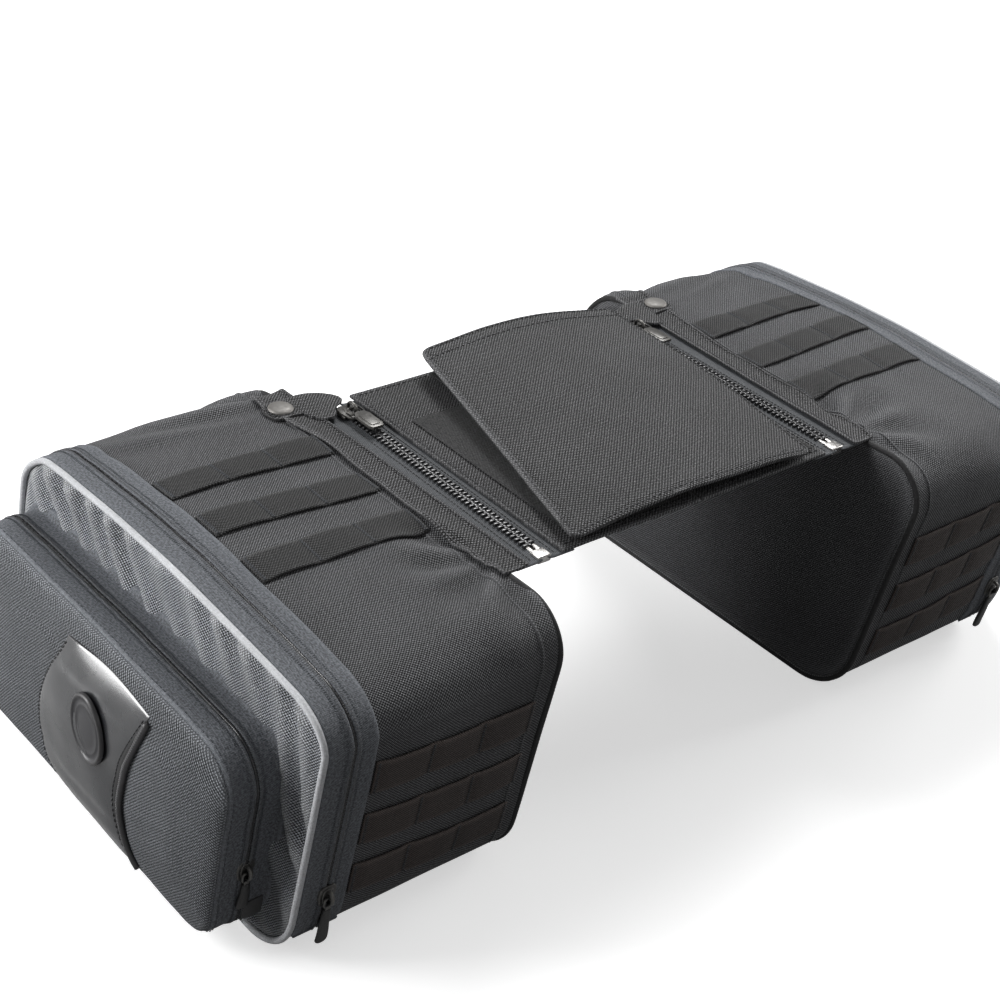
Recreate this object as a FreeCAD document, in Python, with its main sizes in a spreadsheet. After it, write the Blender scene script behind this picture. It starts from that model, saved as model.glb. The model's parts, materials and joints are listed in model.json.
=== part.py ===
import FreeCAD, Part
import Sketcher
import math
import os
import re

# Throw-over motorcycle saddle bags: two slanted soft bags joined by a yoke that lies over the seat.
#
# Frame: +X to the rider's right, +Y to the front of the motorcycle, +Z up. The origin is on the ground
# under the middle of the pair. Millimetres. The right bag is modelled, and the left is its mirror image.

V = FreeCAD.Vector
DIMENSIONS = {
    # one bag: a slanted box, longest along Y
    "bag_len": 340, "bag_high": 203, "slant": 34, "corner_r": 36, "bag_in": 156, "back_t": 4, "wall": 4,
    "part_x": 301, "board_t": 2.5,
    # lid, its zip band and its piping
    "seam_gap": 1.6, "lid_deep": 16, "lid_wall": 3.5, "band_w": 14.5, "band_t": 1.4, "band_foot": 22,
    "piping_w": 4,
    # pocket on the lid, with its leather patch and badge
    "pocket_len": 298, "pocket_high": 145, "pocket_z": 12, "pocket_y": -11, "pocket_r": 24,
    "pocket_rim": 17, "pocket_front": 27, "pocket_wall": 3, "front_wall": 4.5, "pocket_round": 20, "garage_t": 3,
    "leather_w": 95, "leather_t": 2.4, "leather_low_z": 35, "leather_mid_z": 84, "leather_high_z": 134,
    "leather_low_y": -3, "leather_mid_y": -2, "leather_high_y": 19,
    "badge_w": 42, "badge_high": 56, "badge_t": 3, "badge_y": 18, "badge_z": 105,
    # webbing rows on the top and on the front
    "webbing_w": 25, "webbing_t": 1.4, "webbing_gap": 1.4, "tack_w": 3,
    "top_row_y": -57, "top_row_x": 168.5, "top_row_len": 117, "top_row_step": 50,
    "front_row_z": 43, "front_row_x": 170, "front_row_len": 115.5, "front_row_step": 42,
    # yoke: two flat wings, and a flap that bridges them
    "yoke_y": -91, "yoke_len": 221, "wing_in": 1, "wing_out": 116, "wing_t": 3, "wing_z": 204.4,
    "field_in": 16, "field_out": 108, "field_y": -40, "field_len": 164, "field_z": 207.5, "nap_t": 1.1,
    "hook_z": 208.9, "hook_w": 30, "hook_right": 24, "hook_left": 108, "flap_z": 210.2, "flap_t": 2.6, "flap_high": 16,
    "flap_left": 112, "flap_rear": 57, "flap_fore": 112, "flap_over": 3,
    # open-end zips between the yoke and the bags
    "zip_x": 129, "zip_z": 203.3, "tape_t": 1, "tape_w": 19, "chain_w": 5.4, "chain_t": 5, "zip_gap": 1.6,
    "chain_y": -76, "chain_len": 192, "tooth_w": 2.4, "tooth_step": 4, "box_len": 14, "tape_tail": 10,
    # cloth flange on each side of the fold that a bag hangs by
    "fold_gap": 1, "placket_in": 144, "placket_t": 2, "placket_z": 204.4, "placket_y": -119,
    "placket_len": 250, "hem_out": 167, "hem_z": 203.2,
    # strap with a press stud
    "strap_in": 158, "strap_out": 180, "strap_w": 22, "strap_t": 2, "strap_y": -105, "strap_z": 205.6,
    "stud_x": 168.5, "stud_r": 8.5, "stud_t": 3,
    # sliders and their pulls
    "play": 0.5, "plate_t": 2, "web_t": 1, "bail_w": 3, "bail_t": 1.8, "bar_t": 2.2, "pull_z": 4.3,
    "slider_w": 17, "slider_len": 18, "pull_w": 11, "pull_len": 30,
    "small_w": 13, "small_len": 16, "small_pull_w": 9, "lid_pull_len": 40, "pocket_pull_len": 30,
    "lid_slider_z": 56, "pocket_slider_z": 68,
}
MIRRORED = []
SINGLE = []

doc = FreeCAD.newDocument("SaddleBags")
dims = doc.addObject("Spreadsheet::Sheet", "Dims")
for row, (alias, number) in enumerate(DIMENSIONS.items(), start=1):
    dims.set(f"A{row}", alias)
    dims.set(f"B{row}", str(number))
    dims.setAlias(f"B{row}", alias)
doc.recompute()
ALIAS = re.compile(r"\b(" + "|".join(DIMENSIONS) + r")\b")
SLOPE = "(slant/bag_high)"
LEAN = f"atan({SLOPE})"


def bind(item, prop, text):
    """Binds a property to a formula written with the sheet's aliases."""
    item.setExpression(prop, ALIAS.sub(r"Dims.\1", str(text)))


def place(item, at, turn_x=None):
    """Binds an object's place, and its turn about X in degrees, to formulas."""
    if turn_x is not None:
        item.Placement = FreeCAD.Placement(V(), FreeCAD.Rotation(V(1, 0, 0), -1))
        bind(item, "Placement.Rotation.Angle", turn_x)
    for axis, text in zip("xyz", at):
        bind(item, f"Placement.Base.{axis}", text)
    return item


def box(name, size, at, turn_x=None):
    """A box with its size and place bound to the sheet."""
    item = doc.addObject("Part::Box", name)
    for prop, text in zip(("Length", "Width", "Height"), size):
        bind(item, prop, text)
    return place(item, at, turn_x)


def cut(name, base, tool):
    item = doc.addObject("Part::Cut", name)
    item.Base, item.Tool = base, tool
    return item


def common(name, base, tool):
    item = doc.addObject("Part::Common", name)
    item.Base, item.Tool = base, tool
    return item


def fuse(name, pieces):
    item = doc.addObject("Part::MultiFuse", name)
    item.Shapes = pieces
    return item


def group(name, pieces):
    """Separate solids that share one node."""
    item = doc.addObject("Part::Compound", name)
    item.Links = pieces
    return item


def both(label, item):
    """Keeps a sub-part of the right bag, which is mirrored to the left."""
    item.Label = "right_" + label
    MIRRORED.append((label, item))


def only(label, item):
    """Keeps a sub-part that isn't mirrored."""
    item.Label = label
    SINGLE.append(item)


def outline(body, name, plane, offset, corners):
    """A closed sketch of straight lines whose corners are bound to formulas."""
    sketch = body.newObject("Sketcher::SketchObject", name)
    origin_plane = next(f for f in body.Origin.OriginFeatures if f.Role == plane)
    sketch.AttachmentSupport = [(origin_plane, "")]
    sketch.MapMode = "FlatFace"
    bind(sketch, "AttachmentOffset.Base.z", offset)
    count = len(corners)
    turn = 2 * math.pi / count
    start = [V(math.cos(turn * i), math.sin(turn * i), 0) for i in range(count)]
    for i in range(count):
        sketch.addGeometry(Part.LineSegment(start[i], start[(i + 1) % count]), False)
    for i in range(count):
        sketch.addConstraint(Sketcher.Constraint("Coincident", i, 2, (i + 1) % count, 1))
    for i, point in enumerate(corners):
        for kind, text, number in zip(("DistanceX", "DistanceY"), point, start[i]):
            made = sketch.addConstraint(Sketcher.Constraint(kind, -1, 1, i, 1, number))
            bind(sketch, f"Constraints[{made}]", text)
    return sketch


def pad(body, name, sketch, thick):
    item = body.newObject("PartDesign::Pad", name)
    item.Profile = sketch
    bind(item, "Length", thick)
    return item


def prism(name, plane, offset, corners, thick):
    """A body of one pad."""
    body = doc.addObject("PartDesign::Body", name)
    pad(body, name + "Pad", outline(body, name + "Sketch", plane, offset, corners), thick)
    return body


def slanted(length, high, low, shift, grow):
    """The four corners, in Y and Z, of a slanted outline grown outwards by grow."""
    half = f"(({length})/2+({grow})*1.014)"
    corners = []
    for side, z in (("-", f"(({low})-({grow}))"), ("+", f"(({low})-({grow}))"),
                    ("+", f"(({low})+({high})+({grow}))"), ("-", f"(({low})+({high})+({grow}))")):
        corners.append((f"({shift})+{SLOPE}*({z}-bag_high/2){side}{half}", z))
    return corners


def slab(name, start, thick, corners, radius, face_round=None):
    """A body: the outline padded along X from start, with its four long edges rounded."""
    body = doc.addObject("PartDesign::Body", name)
    base = pad(body, name + "Pad", outline(body, name + "Sketch", "YZ_Plane", start, corners), thick)
    doc.recompute()
    edges = enumerate(base.Shape.Edges, start=1)
    fillet = body.newObject("PartDesign::Fillet", name + "Corners")
    fillet.Base = (base, [f"Edge{i}" for i, e in edges if e.BoundBox.XLength > 0.1])
    bind(fillet, "Radius", radius)
    if face_round:
        doc.recompute()
        far = fillet.Shape.BoundBox.XMax
        edges = enumerate(fillet.Shape.Edges, start=1)
        outer = body.newObject("PartDesign::Fillet", name + "Face")
        outer.Base = (fillet, [f"Edge{i}" for i, e in edges if e.BoundBox.XMin > far - 0.1])
        bind(outer, "Radius", face_round)
    return body


def bag(grow):
    return slanted("bag_len", "bag_high", "0", "0", grow)


def pocket(grow):
    return slanted("pocket_len", "pocket_high", "pocket_z", "pocket_y", grow)


def above_foot(name, ring):
    """Ends a band above the bottom, where the lid's cloth hinge is."""
    reach = box(name + "Reach", ("100", "bag_len*2", "bag_high*2"), ("part_x-50", "-bag_len", "band_foot"))
    return common(name, ring, reach)


def band(name, start, thick):
    """Half of a zip band: a thin ring that stands on the outside of the bag."""
    outer = slab(name + "Outer", start, thick, bag("band_t+0.1"), "corner_r+band_t")
    inner = slab(name + "Inner", f"{start}-1", f"{thick}+2", bag("0.1"), "corner_r")
    return above_foot(name, cut(name + "Ring", outer, inner))


def bag_shell():
    """Gusset that wraps round the bag, its back panel, and the board on its floor."""
    outer = slab("GussetOuter", "bag_in+back_t", "part_x-bag_in-back_t", bag("0"), "corner_r")
    inner = slab("GussetInner", "bag_in", "part_x", bag("-wall"), "corner_r-wall")
    both("gusset", cut("Gusset", outer, inner))
    both("back_panel", slab("BackPanel", "bag_in", "back_t", bag("0"), "corner_r"))
    both("bottom_board", box(
        "BottomBoard", ("part_x-bag_in-back_t-16", "bag_len-2*corner_r-14", "board_t"),
        ("bag_in+back_t+8", "-bag_len/2+corner_r+9-slant/2", "wall+0.1")))
    both("body_zip_band", band("BodyBand", "part_x-band_w", "band_w"))


def lid():
    """Shallow lid, its half of the zip band, and the piping round its face."""
    start = "(part_x+seam_gap)"
    outer = slab("LidOuter", start, "lid_deep", bag("0"), "corner_r")
    inner = slab("LidInner", f"{start}-1", "lid_deep-lid_wall+1", bag("-lid_wall"), "corner_r-lid_wall")
    both("lid_shell", cut("LidShell", outer, inner))
    both("lid_zip_band", band("LidBand", start, "band_w"))
    ring = slab("PipingOuter", f"{start}+lid_deep", "piping_w", bag("0"), "corner_r")
    hole = slab(
        "PipingInner", f"{start}+lid_deep-1", "piping_w+2", bag("-piping_w"), "corner_r-piping_w")
    both("lid_piping", cut("Piping", ring, hole))


def lid_pocket():
    """Pocket on the lid: a fixed rim, a front that zips open, and the zip's end tab."""
    face = "(part_x+seam_gap+lid_deep)"
    rim = slab("RimOuter", face, "pocket_rim", pocket("0"), "pocket_r")
    hollow = slab(
        "RimInner", f"{face}-1", "pocket_rim+2", pocket("-pocket_wall"), "pocket_r-pocket_wall")
    both("pocket_rim", cut("PocketRim", rim, hollow))
    start = f"({face}+pocket_rim+seam_gap)"
    front = slab("FrontOuter", start, "pocket_front", pocket("0"), "pocket_r", "pocket_round")
    inside = slab(
        "FrontInner", f"{start}-1", "pocket_front-front_wall+1", pocket("-front_wall"),
        "pocket_r-front_wall", "pocket_round-front_wall")
    both("pocket_front", cut("PocketFront", front, inside))
    foot = "pocket_z+pocket_r/2"
    both("pocket_zip_end", box(
        "PocketZipEnd", ("pocket_rim-2", "garage_t", "14"),
        (f"{face}+1", f"pocket_y+{SLOPE}*({foot}-bag_high/2)+pocket_len/2+0.2", foot), f"-{LEAN}"))
    patch_and_badge(f"({start}+pocket_front)")


def patch_and_badge(face):
    """Leather patch that leans with the bag, with a plain oval badge on it."""
    corners = []
    for side, part in (("-", "low"), ("+", "low"), ("+", "mid"), ("+", "high"), ("-", "high"), ("-", "mid")):
        corners.append((f"leather_{part}_y{side}leather_w/2", f"leather_{part}_z"))
    both("leather_patch", prism("LeatherPatch", "YZ_Plane", f"{face}+0.1", corners, "leather_t"))
    oval = doc.addObject("Part::Ellipsoid", "BadgeOval")
    bind(oval, "Radius1", "badge_t*2")
    bind(oval, "Radius2", "badge_high/2")
    bind(oval, "Radius3", "badge_w/2")
    turned = FreeCAD.Rotation(V(0, 1, 0), 90)
    oval.Placement = FreeCAD.Placement(V(), turned)
    place(oval, (f"{face}+0.2+leather_t-badge_t", "badge_y", "badge_z"))
    keep = box(
        "BadgeFace", ("badge_t*2", "badge_w*2", "badge_high*2"),
        (f"{face}+0.2+leather_t", "badge_y-badge_w", "badge_z-badge_high"))
    both("badge", common("Badge", oval, keep))


def strip(name, length, at, lean=None):
    """One row of webbing: a strap that stitched tacks hold a little off the panel."""
    x, y, z = at
    size, foot = ("webbing_w", "webbing_t"), ("webbing_w", "webbing_gap+0.2")
    lift = (f"{y}", f"{z}+webbing_gap")
    if lean:
        size, foot = size[::-1], foot[::-1]
        lift = (f"{y}+webbing_gap*cos({LEAN})", f"{z}-webbing_gap*sin({LEAN})")
    pieces = [box(name + "Strap", (length, *size), (x, *lift), lean)]
    for i in range(4):
        pieces.append(box(f"{name}Tack{i}", ("tack_w", *foot), (f"{x}+({length}-tack_w)*{i}/3", y, z), lean))
    return fuse(name, pieces)


def webbing():
    """Three rows on the top panel and three on the front panel."""
    top, front = [], []
    for i in range(3):
        at = ("top_row_x", f"top_row_y+top_row_step*{i}", "bag_high+0.1")
        top.append(strip(f"TopRow{i}", "top_row_len", at))
        z = f"(front_row_z+front_row_step*{i})"
        at = ("front_row_x", f"bag_len/2+0.1+{SLOPE}*({z}-bag_high/2)", z)
        front.append(strip(f"FrontRow{i}", "front_row_len", at, f"-{LEAN}"))
    both("top_webbing", group("TopWebbing", top))
    both("front_webbing", group("FrontWebbing", front))


def flat(body, name, low, high, z, thick):
    """Pads a rectangle on the body's XY plane, lifted to z."""
    corners = [(low[0], low[1]), (high[0], low[1]), (high[0], high[1]), (low[0], high[1])]
    return pad(body, name, outline(body, name + "Sketch", "XY_Plane", z, corners), thick)


def zip_half(name, side):
    """Half of an open-end zip: tape, toothed edge and end box. side is 1 outwards, -1 inwards."""
    body = doc.addObject("PartDesign::Body", name)

    def x(distance):
        return f"zip_x+({side})*({distance})"

    def span(near, far):
        return (x(near), x(far)) if side > 0 else (x(far), x(near))

    first, last = span("zip_gap/2+tooth_w", "zip_gap/2+tooth_w+tape_w")
    tail, tape_end = "chain_y-tape_tail", "chain_y+chain_len+box_len"
    flat(body, name + "Tape", (first, tail), (last, tape_end), "zip_z", "tape_t")
    chain_z = "zip_z+tape_t/2-chain_t/2"
    first, last = span("zip_gap/2+tooth_w", "zip_gap/2+chain_w")
    flat(body, name + "Bar", (first, "chain_y"), (last, "chain_y+chain_len"), chain_z, "chain_t")
    first, last = span("zip_gap/2", "zip_gap/2+chain_w+1")
    flat(body, name + "End", (first, "chain_y+chain_len"), (last, tape_end), chain_z, "chain_t")
    first, last = span("zip_gap/2", "zip_gap/2+tooth_w+0.5")
    tooth = flat(
        body, name + "Tooth", (first, "chain_y+tooth_step/4"), (last, "chain_y+tooth_step*3/4"), chain_z,
        "chain_t")
    doc.recompute()
    row = body.newObject("PartDesign::LinearPattern", name + "Teeth")
    row.Originals = [tooth]
    row.Direction = (tooth.Profile[0], ["V_Axis"])
    bind(row, "Length", "chain_len-tooth_step")
    bind(row, "Occurrences", "chain_len/tooth_step")
    body.Tip = row
    return body


def yoke():
    """Wings, the pile and hook fields on them, the flap that bridges them, and the zips."""
    wing = box("Wing", ("wing_out-wing_in", "yoke_len", "wing_t"), ("wing_in", "yoke_y", "wing_z"))
    both("wing", wing)
    both("loop_field", box(
        "LoopField", ("field_out-field_in", "field_len", "nap_t"), ("field_in", "field_y", "field_z")))
    hooks = [
        box(name, ("hook_w", "yoke_len-12", "nap_t"), (x, "yoke_y+6", "hook_z"))
        for name, x in (("HookRight", "hook_right"), ("HookLeft", "-hook_left"))
    ]
    only("hook_strips", group("HookStrips", hooks))
    stations = [("-flap_left-20", 0), ("-flap_left/1.45", 0), ("-55", 1), ("-5", 1), ("22", 0), ("flap_fore+20", 0)]
    under = [(x, f"flap_z+flap_high*{up}") for x, up in stations]
    over = [(x, f"flap_z+flap_t+flap_high*{up}") for x, up in reversed(stations)]
    sheet = prism("FlapSheet", "XZ_Plane", "-500", under + over, "1000")
    rear, fore = "yoke_y-flap_over", "yoke_y+yoke_len+flap_over"
    plan = [("-flap_left", rear), ("flap_rear", rear), ("flap_fore", fore), ("-flap_left+10", fore)]
    only("top_flap", common("TopFlap", sheet, prism("FlapPlan", "XY_Plane", "flap_z-20", plan, "60")))
    both("yoke_zip_half", zip_half("YokeZip", -1))
    both("bag_zip_half", zip_half("BagZip", 1))


def flange():
    """Cloth flange on both sides of the fold, and the strap with a press stud."""
    both("placket", box(
        "Placket", ("bag_in-fold_gap/2-placket_in", "placket_len", "placket_t"),
        ("placket_in", "placket_y", "placket_z")))
    both("placket_hem", box(
        "PlacketHem", ("hem_out-bag_in-fold_gap/2", "placket_len", "placket_t"),
        ("bag_in+fold_gap/2", "placket_y", "hem_z")))
    band_box = box(
        "Strap", ("strap_out-strap_in", "strap_w", "strap_t"), ("strap_in", "strap_y", "strap_z"))
    both("lock_strap", band_box)
    cap = doc.addObject("Part::Cylinder", "StudCap")
    bind(cap, "Radius", "stud_r")
    bind(cap, "Height", "stud_t")
    place(cap, ("stud_x", "strap_y+strap_w/2", "strap_z+strap_t+0.1"))
    both("press_stud", cap)


def slider(label, name, wide, long, under, at, turn=None):
    """Zip slider: outer plate, web between the chain halves, inner plate if any, and the bail.

    Its own frame has Z out of the zip, Y towards the end that the pull hangs to, and X across it.
    """
    pieces = [
        box(name + "Plate", (wide, long, "plate_t"), (f"-({wide})/2", f"-({long})/2", "play")),
        box(name + "Web", ("web_t", f"({long})*0.8", f"{under}+play+0.2"),
            ("-web_t/2", f"-({long})*0.4", f"-({under})")),
        box(name + "LegA", ("bail_w", "bail_t", "pull_z+bar_t/2+0.8-play"), ("-bail_w/2", "-4.3", "play")),
        box(name + "LegB", ("bail_w", "bail_t", "pull_z+bar_t/2+0.8-play"), ("-bail_w/2", "2.1", "play")),
        box(name + "Top", ("bail_w", "6.4+bail_t", "bail_t"), ("-bail_w/2", "-4.3", "pull_z+bar_t/2+0.7")),
    ]
    if under == "chain_t+play+plate_t":
        pieces.append(box(
            name + "Inner", (wide, long, "plate_t"), (f"-({wide})/2", f"-({long})/2", f"-({under})")))
    both(label, place(fuse(name, pieces), at, turn))


def pull(label, name, wide, long, at, turn=None):
    """Zip pull: a plate with a window, whose end bar is held by the slider's bail."""
    plate = box(name + "Plate", (wide, f"{long}+bar_t/2", "bar_t"), (f"-({wide})/2", "-bar_t/2", "pull_z-bar_t/2"))
    window = box(
        name + "Window", (f"{wide}-4", "5.5", "bar_t*3"), (f"-({wide}-4)/2", "bar_t/2", "pull_z-bar_t*1.5"))
    both(label, place(cut(name, plate, window), at, turn))


def sliders():
    """The yoke zip's slider, the lid zip's and the pocket zip's, each with its pull."""
    at = ("zip_x", "chain_y-slider_len/2+16", "zip_z+tape_t/2+chain_t/2")
    slider("zip_slider", "ZipSlider", "slider_w", "slider_len", "chain_t+play+plate_t", at)
    pull("zip_pull", "ZipPull", "pull_w", "pull_len", at)
    hang = f"-(90 deg+{LEAN})"
    out = "band_t+0.1"
    z = "lid_slider_z"
    at = (
        "part_x+seam_gap/2", f"bag_len/2+{SLOPE}*({z}-bag_high/2)+({out})*cos({LEAN})",
        f"{z}-({out})*sin({LEAN})")
    slider("lid_slider", "LidSlider", "small_w", "small_len", "3", at, hang)
    pull("lid_pull", "LidPull", "small_pull_w", "lid_pull_len", at, hang)
    z = "pocket_slider_z"
    at = (
        "part_x+seam_gap*1.5+lid_deep+pocket_rim", f"pocket_y+{SLOPE}*({z}-bag_high/2)+pocket_len/2", z)
    slider("pocket_slider", "PocketSlider", "small_w", "small_len", "2.5", at, hang)
    pull("pocket_pull", "PocketPull", "small_pull_w", "pocket_pull_len", at, hang)


def mirror_left():
    """The left bag: every mirrored sub-part reflected in the plane X = 0."""
    for label, item in MIRRORED:
        copy = doc.addObject("Part::Mirroring", "Left" + item.Name)
        copy.Source = item
        copy.Normal = V(1, 0, 0)
        copy.Label = "left_" + label
        SINGLE.append(copy)


def write():
    """Checks every object and every sub-part, and writes one STEP file for each sub-part."""
    failed = [o.Name for o in doc.Objects if "Invalid" in o.State or "Error" in o.State]
    kept = [item for _, item in MIRRORED] + SINGLE
    failed += [i.Label for i in kept if i.Shape.isNull() or not i.Shape.isValid() or i.Shape.Volume <= 0]
    if failed:
        raise RuntimeError("not built: " + ", ".join(failed))
    os.makedirs("parts", exist_ok=True)
    for item in kept:
        item.Shape.exportStep(f"parts/{item.Label}.step")
    print(len(kept), "sub-parts written")


bag_shell()
lid()
lid_pocket()
webbing()
yoke()
flange()
sliders()
doc.recompute()
mirror_left()
doc.recompute()
write()
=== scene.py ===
import json
import math
import bmesh
import bpy
import numpy as np
from mathutils import Matrix, Vector, noise
from mathutils.bvhtree import BVHTree


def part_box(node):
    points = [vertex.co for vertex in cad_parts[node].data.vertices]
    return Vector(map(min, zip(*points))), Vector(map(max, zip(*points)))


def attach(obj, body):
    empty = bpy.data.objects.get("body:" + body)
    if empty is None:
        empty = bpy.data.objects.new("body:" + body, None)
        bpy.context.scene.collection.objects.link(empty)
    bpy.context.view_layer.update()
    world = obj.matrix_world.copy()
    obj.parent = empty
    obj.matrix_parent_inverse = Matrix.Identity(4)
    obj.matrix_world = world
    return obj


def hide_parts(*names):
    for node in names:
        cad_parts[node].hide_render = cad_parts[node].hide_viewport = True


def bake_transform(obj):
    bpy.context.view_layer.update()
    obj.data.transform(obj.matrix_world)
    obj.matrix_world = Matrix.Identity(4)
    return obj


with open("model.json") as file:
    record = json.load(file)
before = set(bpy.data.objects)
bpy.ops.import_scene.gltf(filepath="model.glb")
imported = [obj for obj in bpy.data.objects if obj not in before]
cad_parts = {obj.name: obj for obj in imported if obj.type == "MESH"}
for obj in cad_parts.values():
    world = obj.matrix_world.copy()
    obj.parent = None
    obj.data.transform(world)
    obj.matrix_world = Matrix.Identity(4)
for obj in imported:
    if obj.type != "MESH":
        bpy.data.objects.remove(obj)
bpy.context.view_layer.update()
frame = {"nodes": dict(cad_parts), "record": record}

# Soft saddle bags: everything is made for the right bag, and the left bag is its mirror image.

MM = 0.001

# ---------------------------------------------------------------- sizes read from the frame


def low(node):
    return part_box(node)[0]


def high(node):
    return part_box(node)[1]


BACK_X = low("right_back_panel").x
SEAM_X = high("right_gusset").x
LID_X = low("right_lid_shell").x
FACE_X = high("right_lid_shell").x
RIM_X = high("right_pocket_rim").x
FRONT_X = low("right_pocket_front").x
POCKET_X = high("right_pocket_front").x
BAG_HIGH = high("right_gusset").z
BAG_MID = BAG_HIGH / 2
SLANT = 34 * MM / BAG_HIGH
LEAN = math.atan(SLANT)
BAG_LEN = 340 * MM
BAG_ROUND = (38 * MM, 46 * MM, 30 * MM, 46 * MM)
POCKET_LEN = 298 * MM
POCKET_SHIFT = -11 * MM
POCKET_LOW = low("right_pocket_rim").z
POCKET_HIGH = high("right_pocket_rim").z - POCKET_LOW
POCKET_ROUND = (24 * MM, 24 * MM, 26 * MM, 28 * MM)
BAND_FOOT = low("right_body_zip_band").z
BAND_WIDE = SEAM_X - low("right_body_zip_band").x
ZIP_X = (low("right_bag_zip_half").x + high("right_yoke_zip_half").x) / 2
ZIP_Z = low("right_wing").z - 0.6 * MM
CHAIN_REAR = low("right_yoke_zip_half").y + 10 * MM
CHAIN_FORE = high("right_yoke_zip_half").y - 14 * MM
AROUND = 300

GUSSET_THICK = 2.4 * MM
PANEL_THICK = 2.0 * MM
POCKET_TAPE_THICK = 1.8 * MM
LEATHER_THICK = 1.8 * MM
FLANGE_THICK = 1.7 * MM
TAB_THICK = 1.8 * MM
ZIP_TAPE_THICK = 0.9 * MM
WING_THICK = 2.4 * MM
FLAP_THICK = 3.0 * MM
FLAP_CORNER = 8 * MM
WEBBING_WIDE = 25 * MM
WEBBING_THICK = 1.3 * MM
WEBBING_RISE = 0.9 * MM
TOOTH_PITCH = 4.0 * MM
TOOTH_LONG = 2.3 * MM
TOOTH_HOOK = 1.4 * MM
TOOTH_REACH = 4.9 * MM
LID_SLIDER_Z = 56 * MM
POCKET_SLIDER_Z = 68 * MM

# ---------------------------------------------------------------- meshes


def mesh_piece(name, verts, faces, uvs=None):
    """A mesh object from points, faces and one UV, in metres, for each point."""
    mesh = bpy.data.meshes.new(name)
    mesh.from_pydata([tuple(v) for v in verts], [], [tuple(f) for f in faces])
    if uvs is not None:
        layer = mesh.uv_layers.new(name="UVMap")
        flat = np.array(uvs, float)[[loop.vertex_index for loop in mesh.loops]]
        layer.data.foreach_set("uv", flat.ravel())
    mesh.polygons.foreach_set("use_smooth", [True] * len(mesh.polygons))
    mesh.validate()
    obj = bpy.data.objects.new(name, mesh)
    bpy.context.scene.collection.objects.link(obj)
    return obj


def face_uvs(obj):
    """Gives each face UVs in metres on the plane that it faces most."""
    mesh = obj.data
    layer = mesh.uv_layers.get("UVMap") or mesh.uv_layers.new(name="UVMap")
    for poly in mesh.polygons:
        axis = max(range(3), key=lambda k: abs(poly.normal[k]))
        first, second = [(1, 2), (0, 2), (0, 1)][axis]
        for loop in poly.loop_indices:
            co = mesh.vertices[mesh.loops[loop].vertex_index].co
            layer.data[loop].uv = (co[first], co[second])
    return obj


def grid_faces(rows, cols, closed=False, start=0):
    """Quads of a rows by cols grid of points; closed joins the last column to the first."""
    faces = []
    for r in range(rows - 1):
        for c in range(cols if closed else cols - 1):
            d = (c + 1) % cols
            faces.append((start + r * cols + c, start + r * cols + d, start + (r + 1) * cols + d,
                          start + (r + 1) * cols + c))
    return faces


def grid_piece(name, point, us, vs, flat=False):
    """A sheet of points point(u, v); its UVs are u and v in metres or, if flat, each point's own X and Y."""
    verts = [point(u, v) for v in vs for u in us]
    uvs = [vert[:2] for vert in verts] if flat else [(u, v) for v in vs for u in us]
    return mesh_piece(name, verts, grid_faces(len(vs), len(us)), uvs)


def thicken(obj, thickness, offset=-1.0, lined=False):
    """Gives a skin its thickness, inwards from its outer face; lined uses the second finish inside."""
    made = obj.modifiers.new("cloth thickness", "SOLIDIFY")
    made.thickness = thickness
    made.offset = offset
    made.use_even_offset = False
    made.material_offset = 1 if lined else 0
    return obj


def soften(obj, levels=1):
    made = obj.modifiers.new("rounding", "SUBSURF")
    made.levels = levels
    made.render_levels = levels
    return obj


def rounded_edges(obj, width, segments=3, angle=40):
    made = obj.modifiers.new("worn edge", "BEVEL")
    made.width = width
    made.segments = segments
    made.limit_method = "ANGLE"
    made.angle_limit = math.radians(angle)
    return obj


def joined(name, parts):
    """Joins (verts, faces) parts into one mesh with planar UVs."""
    verts, faces = [], []
    for part_verts, part_faces in parts:
        base = len(verts)
        verts += [tuple(v) for v in part_verts]
        faces += [tuple(i + base for i in f) for f in part_faces]
    return face_uvs(mesh_piece(name, verts, faces))


def block(centre, size, axes=None):
    """(verts, faces) of a box about centre; axes turn it."""
    axes = axes or (Vector((1, 0, 0)), Vector((0, 1, 0)), Vector((0, 0, 1)))
    verts = []
    for k in (-0.5, 0.5):
        for j in (-0.5, 0.5):
            for i in (-0.5, 0.5):
                off = axes[0] * size[0] * i + axes[1] * size[1] * j + axes[2] * size[2] * k
                verts.append(Vector(centre) + off)
    faces = [(0, 2, 3, 1), (4, 5, 7, 6), (0, 1, 5, 4), (2, 6, 7, 3), (0, 4, 6, 2), (1, 3, 7, 5)]
    return verts, faces


def tube(path, radius, sides=8, closed=False, squash=1.0, normals=None):
    """(verts, faces) of a tube along a path; squash flattens it along the path's normals."""
    path = np.array(path, float)
    count = len(path)
    if closed:
        tangents = np.roll(path, -1, 0) - np.roll(path, 1, 0)
    else:
        tangents = np.gradient(path, axis=0)
    tangents /= np.linalg.norm(tangents, axis=1)[:, None]
    if normals is None:
        ref = np.array([0.31, 0.17, 0.93])
        normals = ref - tangents * (tangents @ ref)[:, None]
    else:
        normals = np.array(normals, float)
        normals = normals - tangents * np.sum(tangents * normals, axis=1)[:, None]
    normals /= np.linalg.norm(normals, axis=1)[:, None]
    sideways = np.cross(tangents, normals)
    verts = []
    for i in range(count):
        for k in range(sides):
            a = 2 * math.pi * k / sides
            verts.append(path[i] + radius * (math.cos(a) * squash * normals[i] + math.sin(a) * sideways[i]))
    faces = []
    for i in range(count if closed else count - 1):
        j = (i + 1) % count
        for k in range(sides):
            n = (k + 1) % sides
            faces.append((i * sides + k, i * sides + n, j * sides + n, j * sides + k))
    if not closed:
        faces.append(tuple(range(sides))[::-1])
        faces.append(tuple((count - 1) * sides + k for k in range(sides)))
    return verts, faces


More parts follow.
